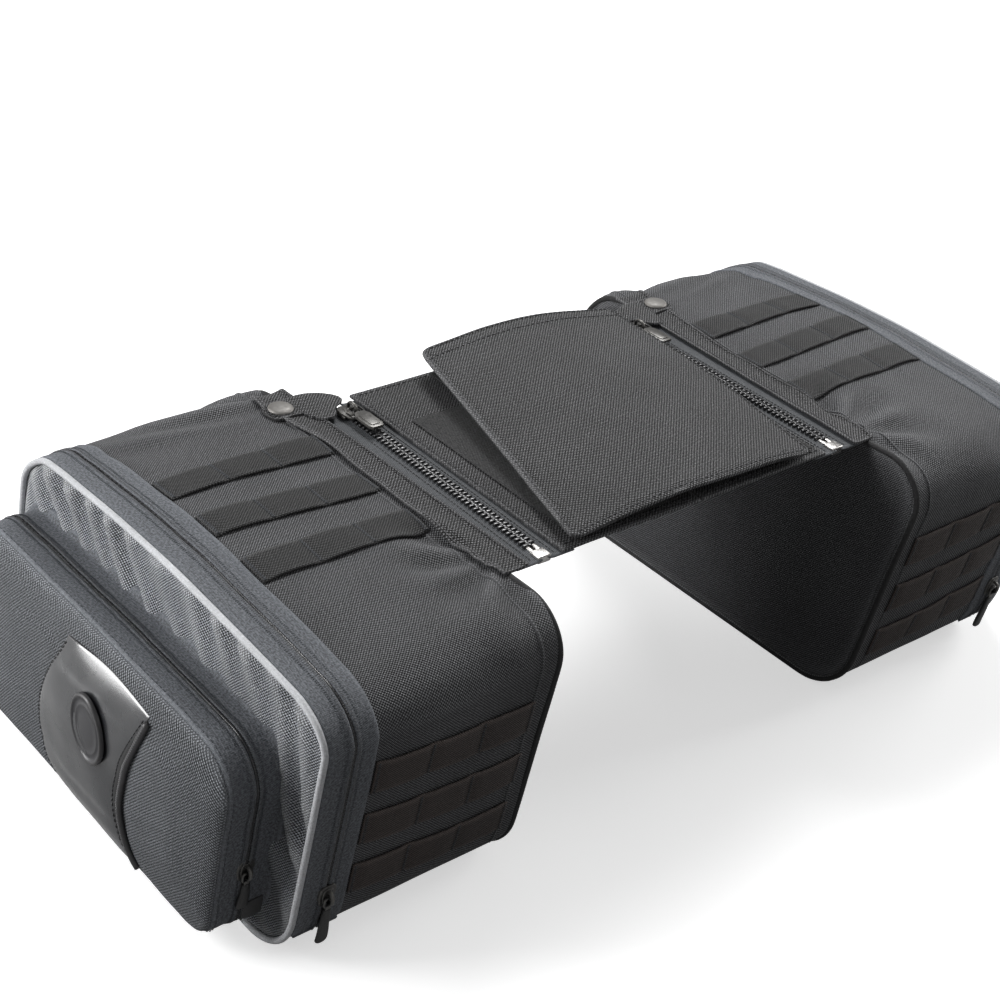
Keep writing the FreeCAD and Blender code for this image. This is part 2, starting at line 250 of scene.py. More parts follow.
def tube_piece(name, path, radius, **options):
    """A tube as a piece, with UVs in metres along and round it."""
    verts, faces = tube(path, radius, **options)
    sides = options.get("sides", 8)
    path = np.array(path, float)
    along = np.concatenate([[0], np.cumsum(np.linalg.norm(np.diff(path, axis=0), axis=1))])
    uvs = [(along[i // sides], (i % sides) * 2 * math.pi * radius / sides) for i in range(len(verts))]
    return mesh_piece(name, verts, faces, uvs)


def ripple(x, y, z, scale, seed=0.0):
    """Smooth noise from -1 to 1, the same on every run."""
    return noise.noise(Vector((x * scale + seed, y * scale - seed * 0.7, z * scale + seed * 1.3)))


# ---------------------------------------------------------------- the slanted outline and the swollen bag


def outline(length, low_z, tall, shift, radii, count=AROUND):
    """Points and outward normals, in Y and Z, evenly spaced round a slanted rounded outline. Its corners go
    low rear, low front, high front, high rear, and each has its own radius."""
    def middle(z):
        return shift + SLANT * (z - BAG_MID)

    top_z = low_z + tall
    corners = [np.array(c) for c in (
        (middle(low_z) - length / 2, low_z), (middle(low_z) + length / 2, low_z),
        (middle(top_z) + length / 2, top_z), (middle(top_z) - length / 2, top_z))]
    loop = []
    for i, here in enumerate(corners):
        a = corners[i - 1] - here
        b = corners[(i + 1) % 4] - here
        a /= np.linalg.norm(a)
        b /= np.linalg.norm(b)
        half = math.acos(float(a @ b)) / 2
        radius = radii[i]
        reach = radius / math.tan(half)
        centre = here + (a + b) / np.linalg.norm(a + b) * radius / math.sin(half)
        first, last = here + a * reach - centre, here + b * reach - centre
        turn = math.atan2(first[0] * last[1] - first[1] * last[0], float(first @ last))
        for k in range(17):
            t = turn * k / 16
            loop.append(centre + np.array((first[0] * math.cos(t) - first[1] * math.sin(t),
                                           first[0] * math.sin(t) + first[1] * math.cos(t))))
    loop = np.array(loop)
    steps = np.linalg.norm(np.roll(loop, -1, 0) - loop, axis=1)
    run = np.concatenate([[0], np.cumsum(steps)])
    start = run[16] + (run[17] - run[16]) / 2
    wanted = (start + run[-1] * np.arange(count) / count) % run[-1]
    closed = np.vstack([loop, loop[:1]])
    points = np.stack([np.interp(wanted, run, closed[:, k]) for k in (0, 1)], axis=1)
    tangent = np.roll(points, -1, 0) - np.roll(points, 1, 0)
    tangent /= np.linalg.norm(tangent, axis=1)[:, None]
    normal = np.stack([tangent[:, 1], -tangent[:, 0]], axis=1)
    return points, normal, run[-1]


BAG = outline(BAG_LEN, 0.0, BAG_HIGH, 0.0, BAG_ROUND)
POCKET = outline(POCKET_LEN, POCKET_LOW, POCKET_HIGH, POCKET_SHIFT, POCKET_ROUND)


def smooth(value, first, last):
    """0 below first, 1 above last, and a smooth climb between."""
    t = min(max((value - first) / (last - first), 0.0), 1.0)
    return t * t * (3 - 2 * t)


def bag_swell(x, y, z, ny, nz, wrinkles=1.0):
    """How far the bag's cloth stands out from the plain outline: a low crown that droops towards the ends
    of the lid, soft sides, a flat bottom, and folds that spread from the front end of the flange."""
    u = min(max((x - BACK_X) / (FACE_X - BACK_X), 0.0), 1.05)
    v = (y - SLANT * (z - BAG_MID)) / (BAG_LEN / 2)
    w = (z - BAG_MID) / BAG_MID
    crown = 1.2 * (1 - v * v) + 3.6 * math.sin(math.pi * min(u, 1.0)) * (1 - v * v)
    droop = (9.0 if v > 0 else 6.0) * abs(v) ** 1.6 * smooth(u, 0.1, 0.85)
    top = max(nz, 0.0) ** 1.5 * (crown - droop)
    side = abs(ny) ** 2 * 3.6 * (1 - w * w) * (0.25 + 0.75 * math.sin(math.pi * min(u, 1.0)))
    soft = 1.0 - 0.8 * smooth(u, 0.75, 0.95)
    folds = 3.0 * ripple(x, y, z, 11, 1.7) + 1.9 * ripple(x, y, z, 26, 4.1)
    folds += 2.4 * max(0.0, ripple(x * 0.5 + y * 0.4, y, z * 1.2, 20, 9.3)) * (1 - u)
    crease = math.sin(y / (5.2 * MM) + x / (16 * MM) + 3.0 * ripple(x, y, z, 10, 7.9))
    folds += 3.4 * crease * smooth(-y, 88 * MM, 128 * MM) * (0.4 + ripple(x, y, z, 14, 0.6)) * max(nz, 0.0)
    dx, dy = x - 152 * MM, y - 112 * MM
    far = math.hypot(dx, dy)
    spread = math.sin(8.5 * math.atan2(dy, dx) + 1.1) * math.exp(-((far - 42 * MM) / (20 * MM)) ** 2)
    folds += 3.4 * spread * smooth(z, 150 * MM, 190 * MM)
    return MM * (top + side + folds * wrinkles * max(soft, 0.2)) * (1 - max(-nz, 0.0) ** 0.5)


def bag_point(x, i, out=0.0, wrinkles=1.0):
    """Point number i of the swollen bag's outline at x, moved outwards by out."""
    y, z = BAG[0][i]
    ny, nz = BAG[1][i]
    off = bag_swell(x, y, z, ny, nz, wrinkles) + out
    return (x, y + ny * off, z + nz * off)


def on_top(x, y, out=0.0):
    """Point of the swollen bag's top panel."""
    return (x, y, BAG_HIGH + bag_swell(x, y, BAG_HIGH, 0.0, 1.0) + out)


def on_front(x, z, out=0.0):
    """Point of the swollen bag's front panel."""
    ny, nz = math.cos(LEAN), -math.sin(LEAN)
    y = BAG_LEN / 2 + SLANT * (z - BAG_MID)
    off = bag_swell(x, y, z, ny, nz) + out
    return (x, y + ny * off, z + nz * off)


def pocket_swell(x, y, z, ny, nz):
    """The pocket is a little crowned on top, and its bottom rolls away towards the front."""
    u = min(max((x - FACE_X) / (POCKET_X - FACE_X), 0.0), 1.1)
    v = (y - POCKET_SHIFT - SLANT * (z - BAG_MID)) / (POCKET_LEN / 2)
    top = max(nz, 0.0) ** 1.5 * (3.6 * (1 - v * v) - 1.2 * u)
    side = abs(ny) ** 2 * 2.0
    folds = 1.0 * ripple(x, y, z, 19, 6.2) + 0.6 * ripple(x, y, z, 41, 2.2)
    return MM * (top + side + folds)


INSETS = {}


def pocket_ring(inset):
    """The pocket's outline moved inwards; its bottom moves in more than its other sides."""
    key = round(inset * 1e5)
    if key not in INSETS:
        under = inset * 0.45
        INSETS[key] = outline(
            POCKET_LEN - 2 * inset, POCKET_LOW + inset + under, POCKET_HIGH - 2 * inset - under, POCKET_SHIFT,
            [radius - 0.3 * inset for radius in POCKET_ROUND])
    return INSETS[key]


def pocket_point(x, i, out=0.0):
    """Point number i of the pocket's outline at x, moved outwards by out."""
    ring = POCKET
    if out < -2 * MM:
        ring, out = pocket_ring(-out), 0.0
    y, z = ring[0][i]
    ny, nz = ring[1][i]
    off = pocket_swell(x, y, z, ny, nz) + out
    return (x, y + ny * off, z + nz * off)


def loft(name, ring_point, ring, stations, first=0, last=None):
    """A skin through rings: stations are (x, out) pairs, and first and last bound an open stretch."""
    closed = last is None
    indices = list(range(AROUND)) if closed else list(range(first, last + 1))
    cell = ring[2] / AROUND
    verts, uvs, across = [], [], 0.0
    for k, (x, out) in enumerate(stations):
        if k:
            across += math.hypot(x - stations[k - 1][0], out - stations[k - 1][1])
        for i in indices:
            verts.append(ring_point(x, i, out))
            uvs.append((i * cell, across))
    faces = grid_faces(len(stations), len(indices), closed)
    mesh = bpy.data.meshes.new(name)
    mesh.from_pydata(verts, [], faces)
    layer = mesh.uv_layers.new(name="UVMap")
    flat = []
    wrap = ring[2]
    for poly in mesh.polygons:
        us = [uvs[mesh.loops[l].vertex_index][0] for l in poly.loop_indices]
        for l, u in zip(poly.loop_indices, us):
            v = uvs[mesh.loops[l].vertex_index][1]
            flat.append((u + wrap if max(us) - u > wrap / 2 else u, v))
    layer.data.foreach_set("uv", np.array(flat).ravel())
    mesh.polygons.foreach_set("use_smooth", [True] * len(mesh.polygons))
    obj = bpy.data.objects.new(name, mesh)
    bpy.context.scene.collection.objects.link(obj)
    return obj


def face_panel(name, edge, x_of, rings=26):
    """A panel inside a closed edge of (x, y, z) points: rings shrink to the middle, and x_of(y, z, t)
    gives how far each point stands out, with t from 0 at the middle to 1 at the edge."""
    edge = np.array(edge)
    middle = edge.mean(0)
    verts, uvs = [], []
    for r in range(rings, 0, -1):
        t = (r / rings) ** 0.9
        for p in edge:
            y, z = middle[1] + (p[1] - middle[1]) * t, middle[2] + (p[2] - middle[2]) * t
            verts.append((p[0] + x_of(y, z, t), y, z))
            uvs.append((y, z))
    count = len(edge)
    faces = grid_faces(rings, count, True)
    verts.append((middle[0] + x_of(middle[1], middle[2], 0.0), middle[1], middle[2]))
    uvs.append((middle[1], middle[2]))
    base = (rings - 1) * count
    faces += [(base + i, base + (i + 1) % count, len(verts) - 1) for i in range(count)]
    return mesh_piece(name, verts, faces, uvs)


# ---------------------------------------------------------------- stitching


def stitch_run(points, outs=None, length=3.0, gap=1.5, radius=0.36):
    """(verts, faces) parts of a row of thread stitches along points, whose outward directions are outs, or
    straight up without them."""
    outs = [(0, 0, 1)] * len(points) if outs is None else outs
    points, outs = np.array(points, float), np.array(outs, float)
    steps = np.linalg.norm(np.diff(points, axis=0), axis=1)
    run = np.concatenate([[0], np.cumsum(steps)])
    parts = []
    at = gap * MM
    while at + length * MM < run[-1]:
        stretch = [at + length * MM * t for t in (0.0, 0.25, 0.5, 0.75, 1.0)]
        path = np.stack([np.interp(stretch, run, points[:, k]) for k in range(3)], axis=1)
        out = np.stack([np.interp(stretch, run, outs[:, k]) for k in range(3)], axis=1)
        out /= np.linalg.norm(out, axis=1)[:, None]
        lift = np.array([-0.25, 0.25, 0.35, 0.25, -0.25])[:, None] * MM
        parts.append(tube(path + out * lift, radius * MM, sides=5, normals=out))
        at += (length + gap) * MM
    return parts


# ---------------------------------------------------------------- finishes


def link(tree, source, target):
    tree.links.new(source, target)


def node(tree, kind, inputs=None, **props):
    """A shader node; inputs may be numbers, colours or another node's output."""
    made = tree.nodes.new(kind)
    for key, value in props.items():
        setattr(made, key, value)
    for key, value in (inputs or {}).items():
        if isinstance(value, bpy.types.NodeSocket):
            link(tree, value, made.inputs[key])
        else:
            made.inputs[key].default_value = value
    return made


def maths(tree, operation, a, b=0.0):
    return node(tree, "ShaderNodeMath", {0: a, 1: b}, operation=operation).outputs[0]


def mixed(tree, amount, a, b, blend_type="MIX"):
    made = node(tree, "ShaderNodeMix", {0: amount}, data_type="RGBA", blend_type=blend_type)
    for key, value in ((6, a), (7, b)):
        if isinstance(value, bpy.types.NodeSocket):
            link(tree, value, made.inputs[key])
        else:
            made.inputs[key].default_value = (*value[:3], 1)
    return made.outputs[2]


def group(name, inputs, outputs):
    """An empty node group with named float inputs and outputs."""
    tree = bpy.data.node_groups.new(name, "ShaderNodeTree")
    for label, value in inputs.items():
        socket = tree.interface.new_socket(label, in_out="INPUT", socket_type="NodeSocketFloat")
        socket.default_value = value
    for label in outputs:
        tree.interface.new_socket(label, in_out="OUTPUT", socket_type="NodeSocketFloat")
    return tree, tree.nodes.new("NodeGroupInput"), tree.nodes.new("NodeGroupOutput")


def weave_group():
    """Threads crossing over and under each other; Twill turns them into diagonal ribs, Rib into cross ribs. The
    glint output marks specks of painted highlight on the thread tops.
    """
    tree, given, out = group("woven threads", {"Pitch": 0.0012, "Twill": 0.0, "Rib": 0.0},
                             ["Height", "Painted_glint", "Slub"])
    place = node(tree, "ShaderNodeTexCoord").outputs["UV"]
    waver = node(tree, "ShaderNodeTexNoise", {"Vector": place, "Scale": 70.0, "Detail": 1.0})
    moved = node(tree, "ShaderNodeVectorMath", {0: waver.outputs["Color"], 1: (0.0006, 0.0006, 0)},
                 operation="MULTIPLY")
    bent = node(tree, "ShaderNodeVectorMath", {0: place, 1: moved.outputs[0]}, operation="ADD")
    parts = node(tree, "ShaderNodeSeparateXYZ", {0: bent.outputs[0]})
    turn = maths(tree, "DIVIDE", 2 * math.pi, given.outputs["Pitch"])
    u = maths(tree, "MULTIPLY", parts.outputs[0], turn)
    v = maths(tree, "MULTIPLY", parts.outputs[1], turn)
    plain = maths(tree, "MULTIPLY", maths(tree, "SINE", u), maths(tree, "SINE", v))
    diagonal = maths(tree, "SINE", maths(tree, "ADD", u, v))
    twill = maths(tree, "ADD", maths(tree, "MULTIPLY", diagonal, 0.75),
                  maths(tree, "MULTIPLY", maths(tree, "SINE", maths(tree, "MULTIPLY", u, 2.0)), 0.25))
    ribbed = maths(tree, "SINE", u)
    with_twill = node(tree, "ShaderNodeMix", {0: given.outputs["Twill"], 2: plain, 3: twill}).outputs[0]
    threads = node(tree, "ShaderNodeMix", {0: given.outputs["Rib"], 2: with_twill, 3: ribbed}).outputs[0]
    height = maths(tree, "ADD", maths(tree, "MULTIPLY", threads, 0.5), 0.5)
    fine = node(tree, "ShaderNodeTexNoise", {"Vector": place, "Scale": 900.0, "Detail": 2.0, "Roughness": 0.7})
    # Painted highlights: bright specks where the fine noise is high, on the thread tops.
    spark = node(tree, "ShaderNodeMapRange", {"Value": fine.outputs["Fac"], "From Min": 0.52, "From Max": 0.72})
    slub = node(tree, "ShaderNodeTexNoise", {"Vector": place, "Scale": 620.0, "Detail": 3.0, "Roughness": 0.65})
    link(tree, height, out.inputs["Height"])
    link(tree, maths(tree, "MULTIPLY", spark.outputs[0], height), out.inputs["Painted_glint"])
    link(tree, slub.outputs["Fac"], out.inputs["Slub"])
    return tree


def handling_group():
    """Marks of use: faded patches, edges rubbed pale and fine dust."""
    tree, given, out = group("marks of use", {"Patch size": 14.0, "Dust": 0.3}, ["Patches", "Rubbed", "Dust"])
    place = node(tree, "ShaderNodeTexCoord").outputs["Object"]
    broad = node(tree, "ShaderNodeTexNoise", {
        "Vector": place, "Scale": given.outputs["Patch size"], "Detail": 3.0})
    grit = node(tree, "ShaderNodeTexNoise", {"Vector": place, "Scale": 420.0, "Detail": 4.0, "Roughness": 0.8})
    sharp = node(tree, "ShaderNodeNewGeometry").outputs["Pointiness"]
    edge = node(tree, "ShaderNodeMapRange", {"Value": sharp, "From Min": 0.505, "From Max": 0.56})
    speck = node(tree, "ShaderNodeMapRange", {"Value": grit.outputs["Fac"], "From Min": 0.58, "From Max": 0.8})
    link(tree, broad.outputs["Fac"], out.inputs["Patches"])
    link(tree, maths(tree, "MULTIPLY", edge.outputs[0], grit.outputs["Fac"]), out.inputs["Rubbed"])
    link(tree, maths(tree, "MULTIPLY", speck.outputs[0], given.outputs["Dust"]), out.inputs["Dust"])
    return tree


def grain_group():
    """Leather's pebbles and the creases between them."""
    tree, given, out = group("leather grain", {"Cell": 900.0}, ["Height", "Crease"])
    place = node(tree, "ShaderNodeTexCoord").outputs["Object"]
    cells = node(tree, "ShaderNodeTexVoronoi", {"Vector": place, "Scale": given.outputs["Cell"]},
                 feature="SMOOTH_F1")
    folds = node(tree, "ShaderNodeTexNoise", {"Vector": place, "Scale": 60.0, "Detail": 6.0, "Roughness": 0.62})
    apart = maths(tree, "ABSOLUTE", maths(tree, "SUBTRACT", folds.outputs["Fac"], 0.5))
    lines = node(tree, "ShaderNodeMapRange", {"Value": apart, "From Min": 0.0, "From Max": 0.012})
    pebble = maths(tree, "SUBTRACT", 1.0, cells.outputs["Distance"])
    link(tree, maths(tree, "ADD", maths(tree, "MULTIPLY", pebble, 0.55),
                     maths(tree, "MULTIPLY", folds.outputs["Fac"], 0.45)), out.inputs["Height"])
    link(tree, lines.outputs[0], out.inputs["Crease"])
    return tree


WEAVE = weave_group()
HANDLING = handling_group()
GRAIN = grain_group()


def placed(tree, which, **values):
    made = tree.nodes.new("ShaderNodeGroup")
    made.node_tree = which
    for key, value in values.items():
        made.inputs[key.replace("_", " ")].default_value = value
    return made


def new_finish(name, **values):
    """A material and its shader; values are plain numbers on the shader's own sockets."""
    made = bpy.data.materials.new(name)
    made.use_nodes = True
    shader = made.node_tree.nodes["Principled BSDF"]
    for key, value in values.items():
        shader.inputs[key.replace("_", " ")].default_value = value
    return made, made.node_tree, shader


def cloth(name, gap_shade, pale, pitch, twill=0.0, rib=0.0, relief=0.35, rough=(0.5, 0.85), sheen=0.03, dust=0.25,
          heather=0.0, painted_glint=0.5, patchy=1.0, gap=0.0):
    """Woven cloth: the gaps between threads are painted dark as shade, their tops pale, with painted glints,
    slubs and marks of use. gap widens the painted dark gaps."""
    made, tree, shader = new_finish(
        name, Sheen_Weight=sheen, Sheen_Roughness=0.4, Specular_IOR_Level=0.3)
    threads = placed(tree, WEAVE, Pitch=pitch, Twill=twill, Rib=rib)
    used = placed(tree, HANDLING, Dust=dust)
    tops = node(tree, "ShaderNodeMapRange", {
        "Value": threads.outputs["Height"], "From Min": 0.48 + gap, "From Max": 0.62 + gap},
        interpolation_type="SMOOTHSTEP")
    # Painted shade: the colour goes dark in the gaps between threads and pale on their tops.
    colour = mixed(tree, tops.outputs[0], gap_shade, pale)
    worn = node(tree, "ShaderNodeMapRange", {
        "Value": threads.outputs["Slub"], "From Min": 0.3, "From Max": 0.7, "To Min": 0.62, "To Max": 1.3})
    colour = mixed(tree, 1.0, colour, worn.outputs[0], "MULTIPLY")
    tone = node(tree, "ShaderNodeMapRange", {
        "Value": used.outputs["Patches"], "From Min": 0.3, "From Max": 0.7, "To Min": 1 - 0.2 * patchy,
        "To Max": 1 + 0.18 * patchy})
    colour = mixed(tree, 1.0, colour, tone.outputs[0], "MULTIPLY")
    if heather:
        fleck = node(tree, "ShaderNodeMapRange", {
            "Value": threads.outputs["Slub"], "From Min": 0.42, "From Max": 0.62})
        colour = mixed(tree, maths(tree, "MULTIPLY", fleck.outputs[0], heather), colour,
                       [min(1.0, c * 2.2) for c in pale])
    # Painted highlights: the glint specks get this brighter colour; the same colour also marks rubbed edges,
    # which are wear.
    glint_and_rubbed_colour = [min(1.0, c * 2.4 + 0.03) for c in pale]
    colour = mixed(tree, maths(tree, "MULTIPLY", threads.outputs["Painted_glint"], painted_glint), colour, glint_and_rubbed_colour)
    colour = mixed(tree, maths(tree, "MULTIPLY", used.outputs["Rubbed"], 0.35), colour, glint_and_rubbed_colour)
    colour = mixed(tree, maths(tree, "MULTIPLY", used.outputs["Dust"], 0.3), colour, (0.4, 0.38, 0.35))
    link(tree, colour, shader.inputs["Base Color"])
    gloss = node(tree, "ShaderNodeMapRange", {
        "Value": tops.outputs[0], "To Min": rough[1], "To Max": rough[0]})
    link(tree, gloss.outputs[0], shader.inputs["Roughness"])
    slubs = maths(tree, "MULTIPLY", threads.outputs["Slub"], 0.5)
    relief_height = maths(tree, "ADD", threads.outputs["Height"], slubs)
    bump = node(tree, "ShaderNodeBump", {"Strength": relief, "Distance": 0.0005, "Height": relief_height})
    link(tree, bump.outputs[0], shader.inputs["Normal"])
    return made


def leather(name, colour, rough, cell, relief, coat):
    made, tree, shader = new_finish(name, Coat_Weight=coat, Coat_Roughness=0.18, Specular_IOR_Level=0.5)
    grain = placed(tree, GRAIN, Cell=cell)
    used = placed(tree, HANDLING, Patch_size=30.0, Dust=0.2)
    # Painted shade: the grain's creases are painted darker.
    tint = mixed(tree, grain.outputs["Crease"], [c * 0.7 for c in colour], colour)
    tint = mixed(tree, maths(tree, "MULTIPLY", used.outputs["Rubbed"], 0.25), tint, (0.16, 0.15, 0.14))
    link(tree, tint, shader.inputs["Base Color"])
    wet = node(tree, "ShaderNodeMapRange", {
        "Value": used.outputs["Patches"], "From Min": 0.3, "From Max": 0.7, "To Min": rough - 0.07,
        "To Max": rough + 0.1})
    link(tree, wet.outputs[0], shader.inputs["Roughness"])
    height = maths(tree, "ADD", grain.outputs["Height"], maths(tree, "MULTIPLY", grain.outputs["Crease"], 0.12))
    bump = node(tree, "ShaderNodeBump", {"Strength": relief, "Distance": 0.0005, "Height": height})
    link(tree, bump.outputs[0], shader.inputs["Normal"])
    return made


def hard(name, colour, metallic, rough, worn=None, relief=0.12, scale=500.0):
    """Moulded plastic or metal: fine cast texture, scuffs and edges worn through to worn."""
    made, tree, shader = new_finish(name, Specular_IOR_Level=0.5)
    shader.inputs["Metallic"].default_value = metallic
    used = placed(tree, HANDLING, Patch_size=60.0, Dust=0.3)
    place = node(tree, "ShaderNodeTexCoord").outputs["Object"]
    cast = node(tree, "ShaderNodeTexNoise", {"Vector": place, "Scale": scale, "Detail": 4.0})
    tint = mixed(tree, used.outputs["Patches"], [c * 0.75 for c in colour], [c * 1.2 for c in colour])
    worn = worn or [c * 2.5 for c in colour]
    tint = mixed(tree, maths(tree, "MULTIPLY", used.outputs["Rubbed"], 0.9), tint, worn)
    tint = mixed(tree, maths(tree, "MULTIPLY", used.outputs["Dust"], 0.3), tint, (0.35, 0.34, 0.32))
    link(tree, tint, shader.inputs["Base Color"])
    gloss = node(tree, "ShaderNodeMapRange", {
        "Value": cast.outputs["Fac"], "From Min": 0.3, "From Max": 0.7, "To Min": rough - 0.08,
        "To Max": rough + 0.12})
    link(tree, gloss.outputs[0], shader.inputs["Roughness"])
    bump = node(tree, "ShaderNodeBump", {"Strength": relief, "Distance": 0.0003, "Height": cast.outputs["Fac"]})
    link(tree, bump.outputs[0], shader.inputs["Normal"])
    return made


BODY_CLOTH = cloth("charcoal ballistic cloth", (0.006, 0.006, 0.007), (0.142, 0.144, 0.151), 0.0020, twill=0.12,
                   relief=1.0, painted_glint=0.7)
POCKET_CLOTH = cloth("charcoal pocket cloth", (0.006, 0.007, 0.008), (0.220, 0.231, 0.250), 0.0023, twill=0.55,
                     relief=1.0, painted_glint=0.7, gap=0.06)
LID_CLOTH = cloth("grey lid cloth", (0.008, 0.009, 0.010), (0.400, 0.420, 0.460), 0.0020, relief=1.0,
                  rough=(0.36, 0.65), painted_glint=0.7)
LINING = cloth("black lining", (0.006, 0.006, 0.006), (0.022, 0.022, 0.023), 0.0009, relief=0.2, painted_glint=0.15)
BAND_CLOTH = cloth("slate zip tape", (0.045, 0.048, 0.054), (0.150, 0.159, 0.175), 0.0011, rib=0.25, relief=0.5,
                   heather=0.22, painted_glint=0.3, patchy=0.3)
TOP_WEBBING = cloth("dark webbing", (0.003, 0.003, 0.003), (0.050, 0.050, 0.051), 0.0021, twill=0.2, relief=1.0,
                    painted_glint=0.6)
FRONT_WEBBING = cloth("brown-black webbing", (0.012, 0.010, 0.009), (0.092, 0.073, 0.067), 0.0015, twill=0.2,
                      relief=0.8, painted_glint=0.3)
FLAP_CLOTH = cloth("charcoal yoke cloth", (0.0015, 0.0015, 0.0015), (0.145, 0.145, 0.150), 0.0025, twill=0.3,
                   relief=1.0, painted_glint=0.9, gap=0.11)
TAPE = cloth("grey zip tape", (0.040, 0.043, 0.047), (0.105, 0.111, 0.120), 0.0011, rib=0.6, relief=0.4,
             painted_glint=0.2, patchy=0.3)
PIPING = cloth("pale piping", (0.36, 0.37, 0.39), (0.56, 0.57, 0.60), 0.0007, relief=0.2, rough=(0.35, 0.5),
               painted_glint=0.3, patchy=0.5)
THREAD = cloth("dark thread", (0.016, 0.016, 0.017), (0.060, 0.061, 0.064), 0.0006, twill=1.0, relief=0.3,
               painted_glint=0.2)
BAND_THREAD = cloth("slate thread", (0.022, 0.024, 0.027), (0.060, 0.065, 0.073), 0.0006, twill=1.0, relief=0.3)
PALE_THREAD = cloth("grey thread", (0.045, 0.045, 0.047), (0.16, 0.16, 0.165), 0.0006, twill=1.0, relief=0.3)
PILE = cloth("loop pile", (0.006, 0.006, 0.006), (0.055, 0.055, 0.056), 0.0014, twill=0.5, relief=1.0,
             rough=(0.9, 1.0), sheen=0.1, heather=0.25)
HOOKS = cloth("hook tape", (0.005, 0.005, 0.005), (0.020, 0.020, 0.020), 0.0016, relief=1.0, rough=(0.5, 0.7))
PATCH_LEATHER = leather("glossy black leather", (0.022, 0.023, 0.026), 0.26, 1100.0, 0.12, 1.0)
PULL_LEATHER = leather("black pull leather", (0.018, 0.018, 0.018), 0.45, 1300.0, 0.35, 0.1)
BADGE_RUBBER = leather("moulded black badge", (0.026, 0.026, 0.029), 0.4, 2200.0, 0.15, 0.15)
TEETH = hard("black moulded teeth", (0.014, 0.014, 0.015), 0.0, 0.24)
BLACK_METAL = hard("black painted zinc", (0.020, 0.020, 0.021), 0.6, 0.34, worn=(0.30, 0.29, 0.27))
GUNMETAL = hard("gunmetal", (0.15, 0.145, 0.137), 0.6, 0.55, worn=(0.42, 0.40, 0.38))
SILVER = hard("worn silver end", (0.42, 0.41, 0.40), 0.9, 0.28, worn=(0.75, 0.73, 0.70))
BOARD = hard("black polyethylene board", (0.012, 0.012, 0.012), 0.0, 0.5, relief=0.4, scale=220.0)


# ---------------------------------------------------------------- keeping the pieces

SLOTS = {entry["node"]: entry["material_slot"] for entry in frame["record"]["subparts"]}


def finish_with(obj, *materials):
    obj.data.materials.clear()
    for material in materials:
        obj.data.materials.append(material)
    return obj


def left_twin(obj, name):
    """The mirror image of a right-hand piece, with its modifiers."""
    twin = obj.copy()
    twin.data = obj.data.copy()
    twin.name = twin.data.name = name
    bpy.context.scene.collection.objects.link(twin)
    twin.data.transform(Matrix.Scale(-1, 4, Vector((1, 0, 0))))
    twin.data.flip_normals()
    return twin


def keep(obj, body, stands_for=(), finish=None, both_sides=True, bends=None, cut=None):
    """Puts a right-hand piece on its body, and its mirror image on the left-hand body; with bends, a piece is
    left on no body. cut is the flat width and length of a sheet of cloth, its area, how it is held, and what it
    rests on; it is not used."""
    if finish:
        finish_with(obj, *(finish if isinstance(finish, (list, tuple)) else [finish]))
    nodes = [stands_for] if isinstance(stands_for, str) else list(stands_for)
    pairs = [(obj, False)]
    if both_sides:
        pairs.append((left_twin(obj, obj.name.replace("right_", "left_")), True))
    for piece, left in pairs:
        def side(word):
            if left and word == "yoke":
                return "left_yoke"
            return word.replace("right_", "left_") if left else word
        if bends:
            start, end = bends
            side(body[0])
            side(body[1])
            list(start[1:])
            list(end[1:])
            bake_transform(piece)
        else:
            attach(piece, side(body))
        if nodes:
            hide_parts(*[side(n) for n in nodes])
            SLOTS[side(nodes[0])]
        if cut:
            width, length, area, held, rests_on = cut
            [side(n) for n in rests_on]
    return obj


# ---------------------------------------------------------------- bag, lid and bands

BAG_UP = [i for i in range(AROUND) if BAG[0][i][1] > BAND_FOOT]
BAND_FIRST, BAND_LAST = BAG_UP[0], BAG_UP[-1]


def steps(first, last, count):
    return [first + (last - first) * k / (count - 1) for k in range(count)]


def run_length(points):
    return sum(math.dist(a, b) for a, b in zip(points, points[1:]))


def flat_cut(point, across, along, held, rests_on):
    """Flat width, length and area of the cloth of a sheet point(u, v)."""
    widths = [run_length([point(u, v) for u in across]) for v in along]
    length = run_length([point((across[0] + across[-1]) / 2, v) for v in along])
    return max(widths), length, length * sum(widths) / len(widths), held, rests_on


def seam_rows(ring_point, ring, x, out, first, last, **options):
    """Stitches that follow the outline at x between two point numbers."""
    numbers = list(range(first, last + 1)) if first <= last else []
    points = [ring_point(x, i, out) for i in numbers]
    outs = [(0.0, ring[1][i][0], ring[1][i][1]) for i in numbers]
    return stitch_run(points, outs, **options)


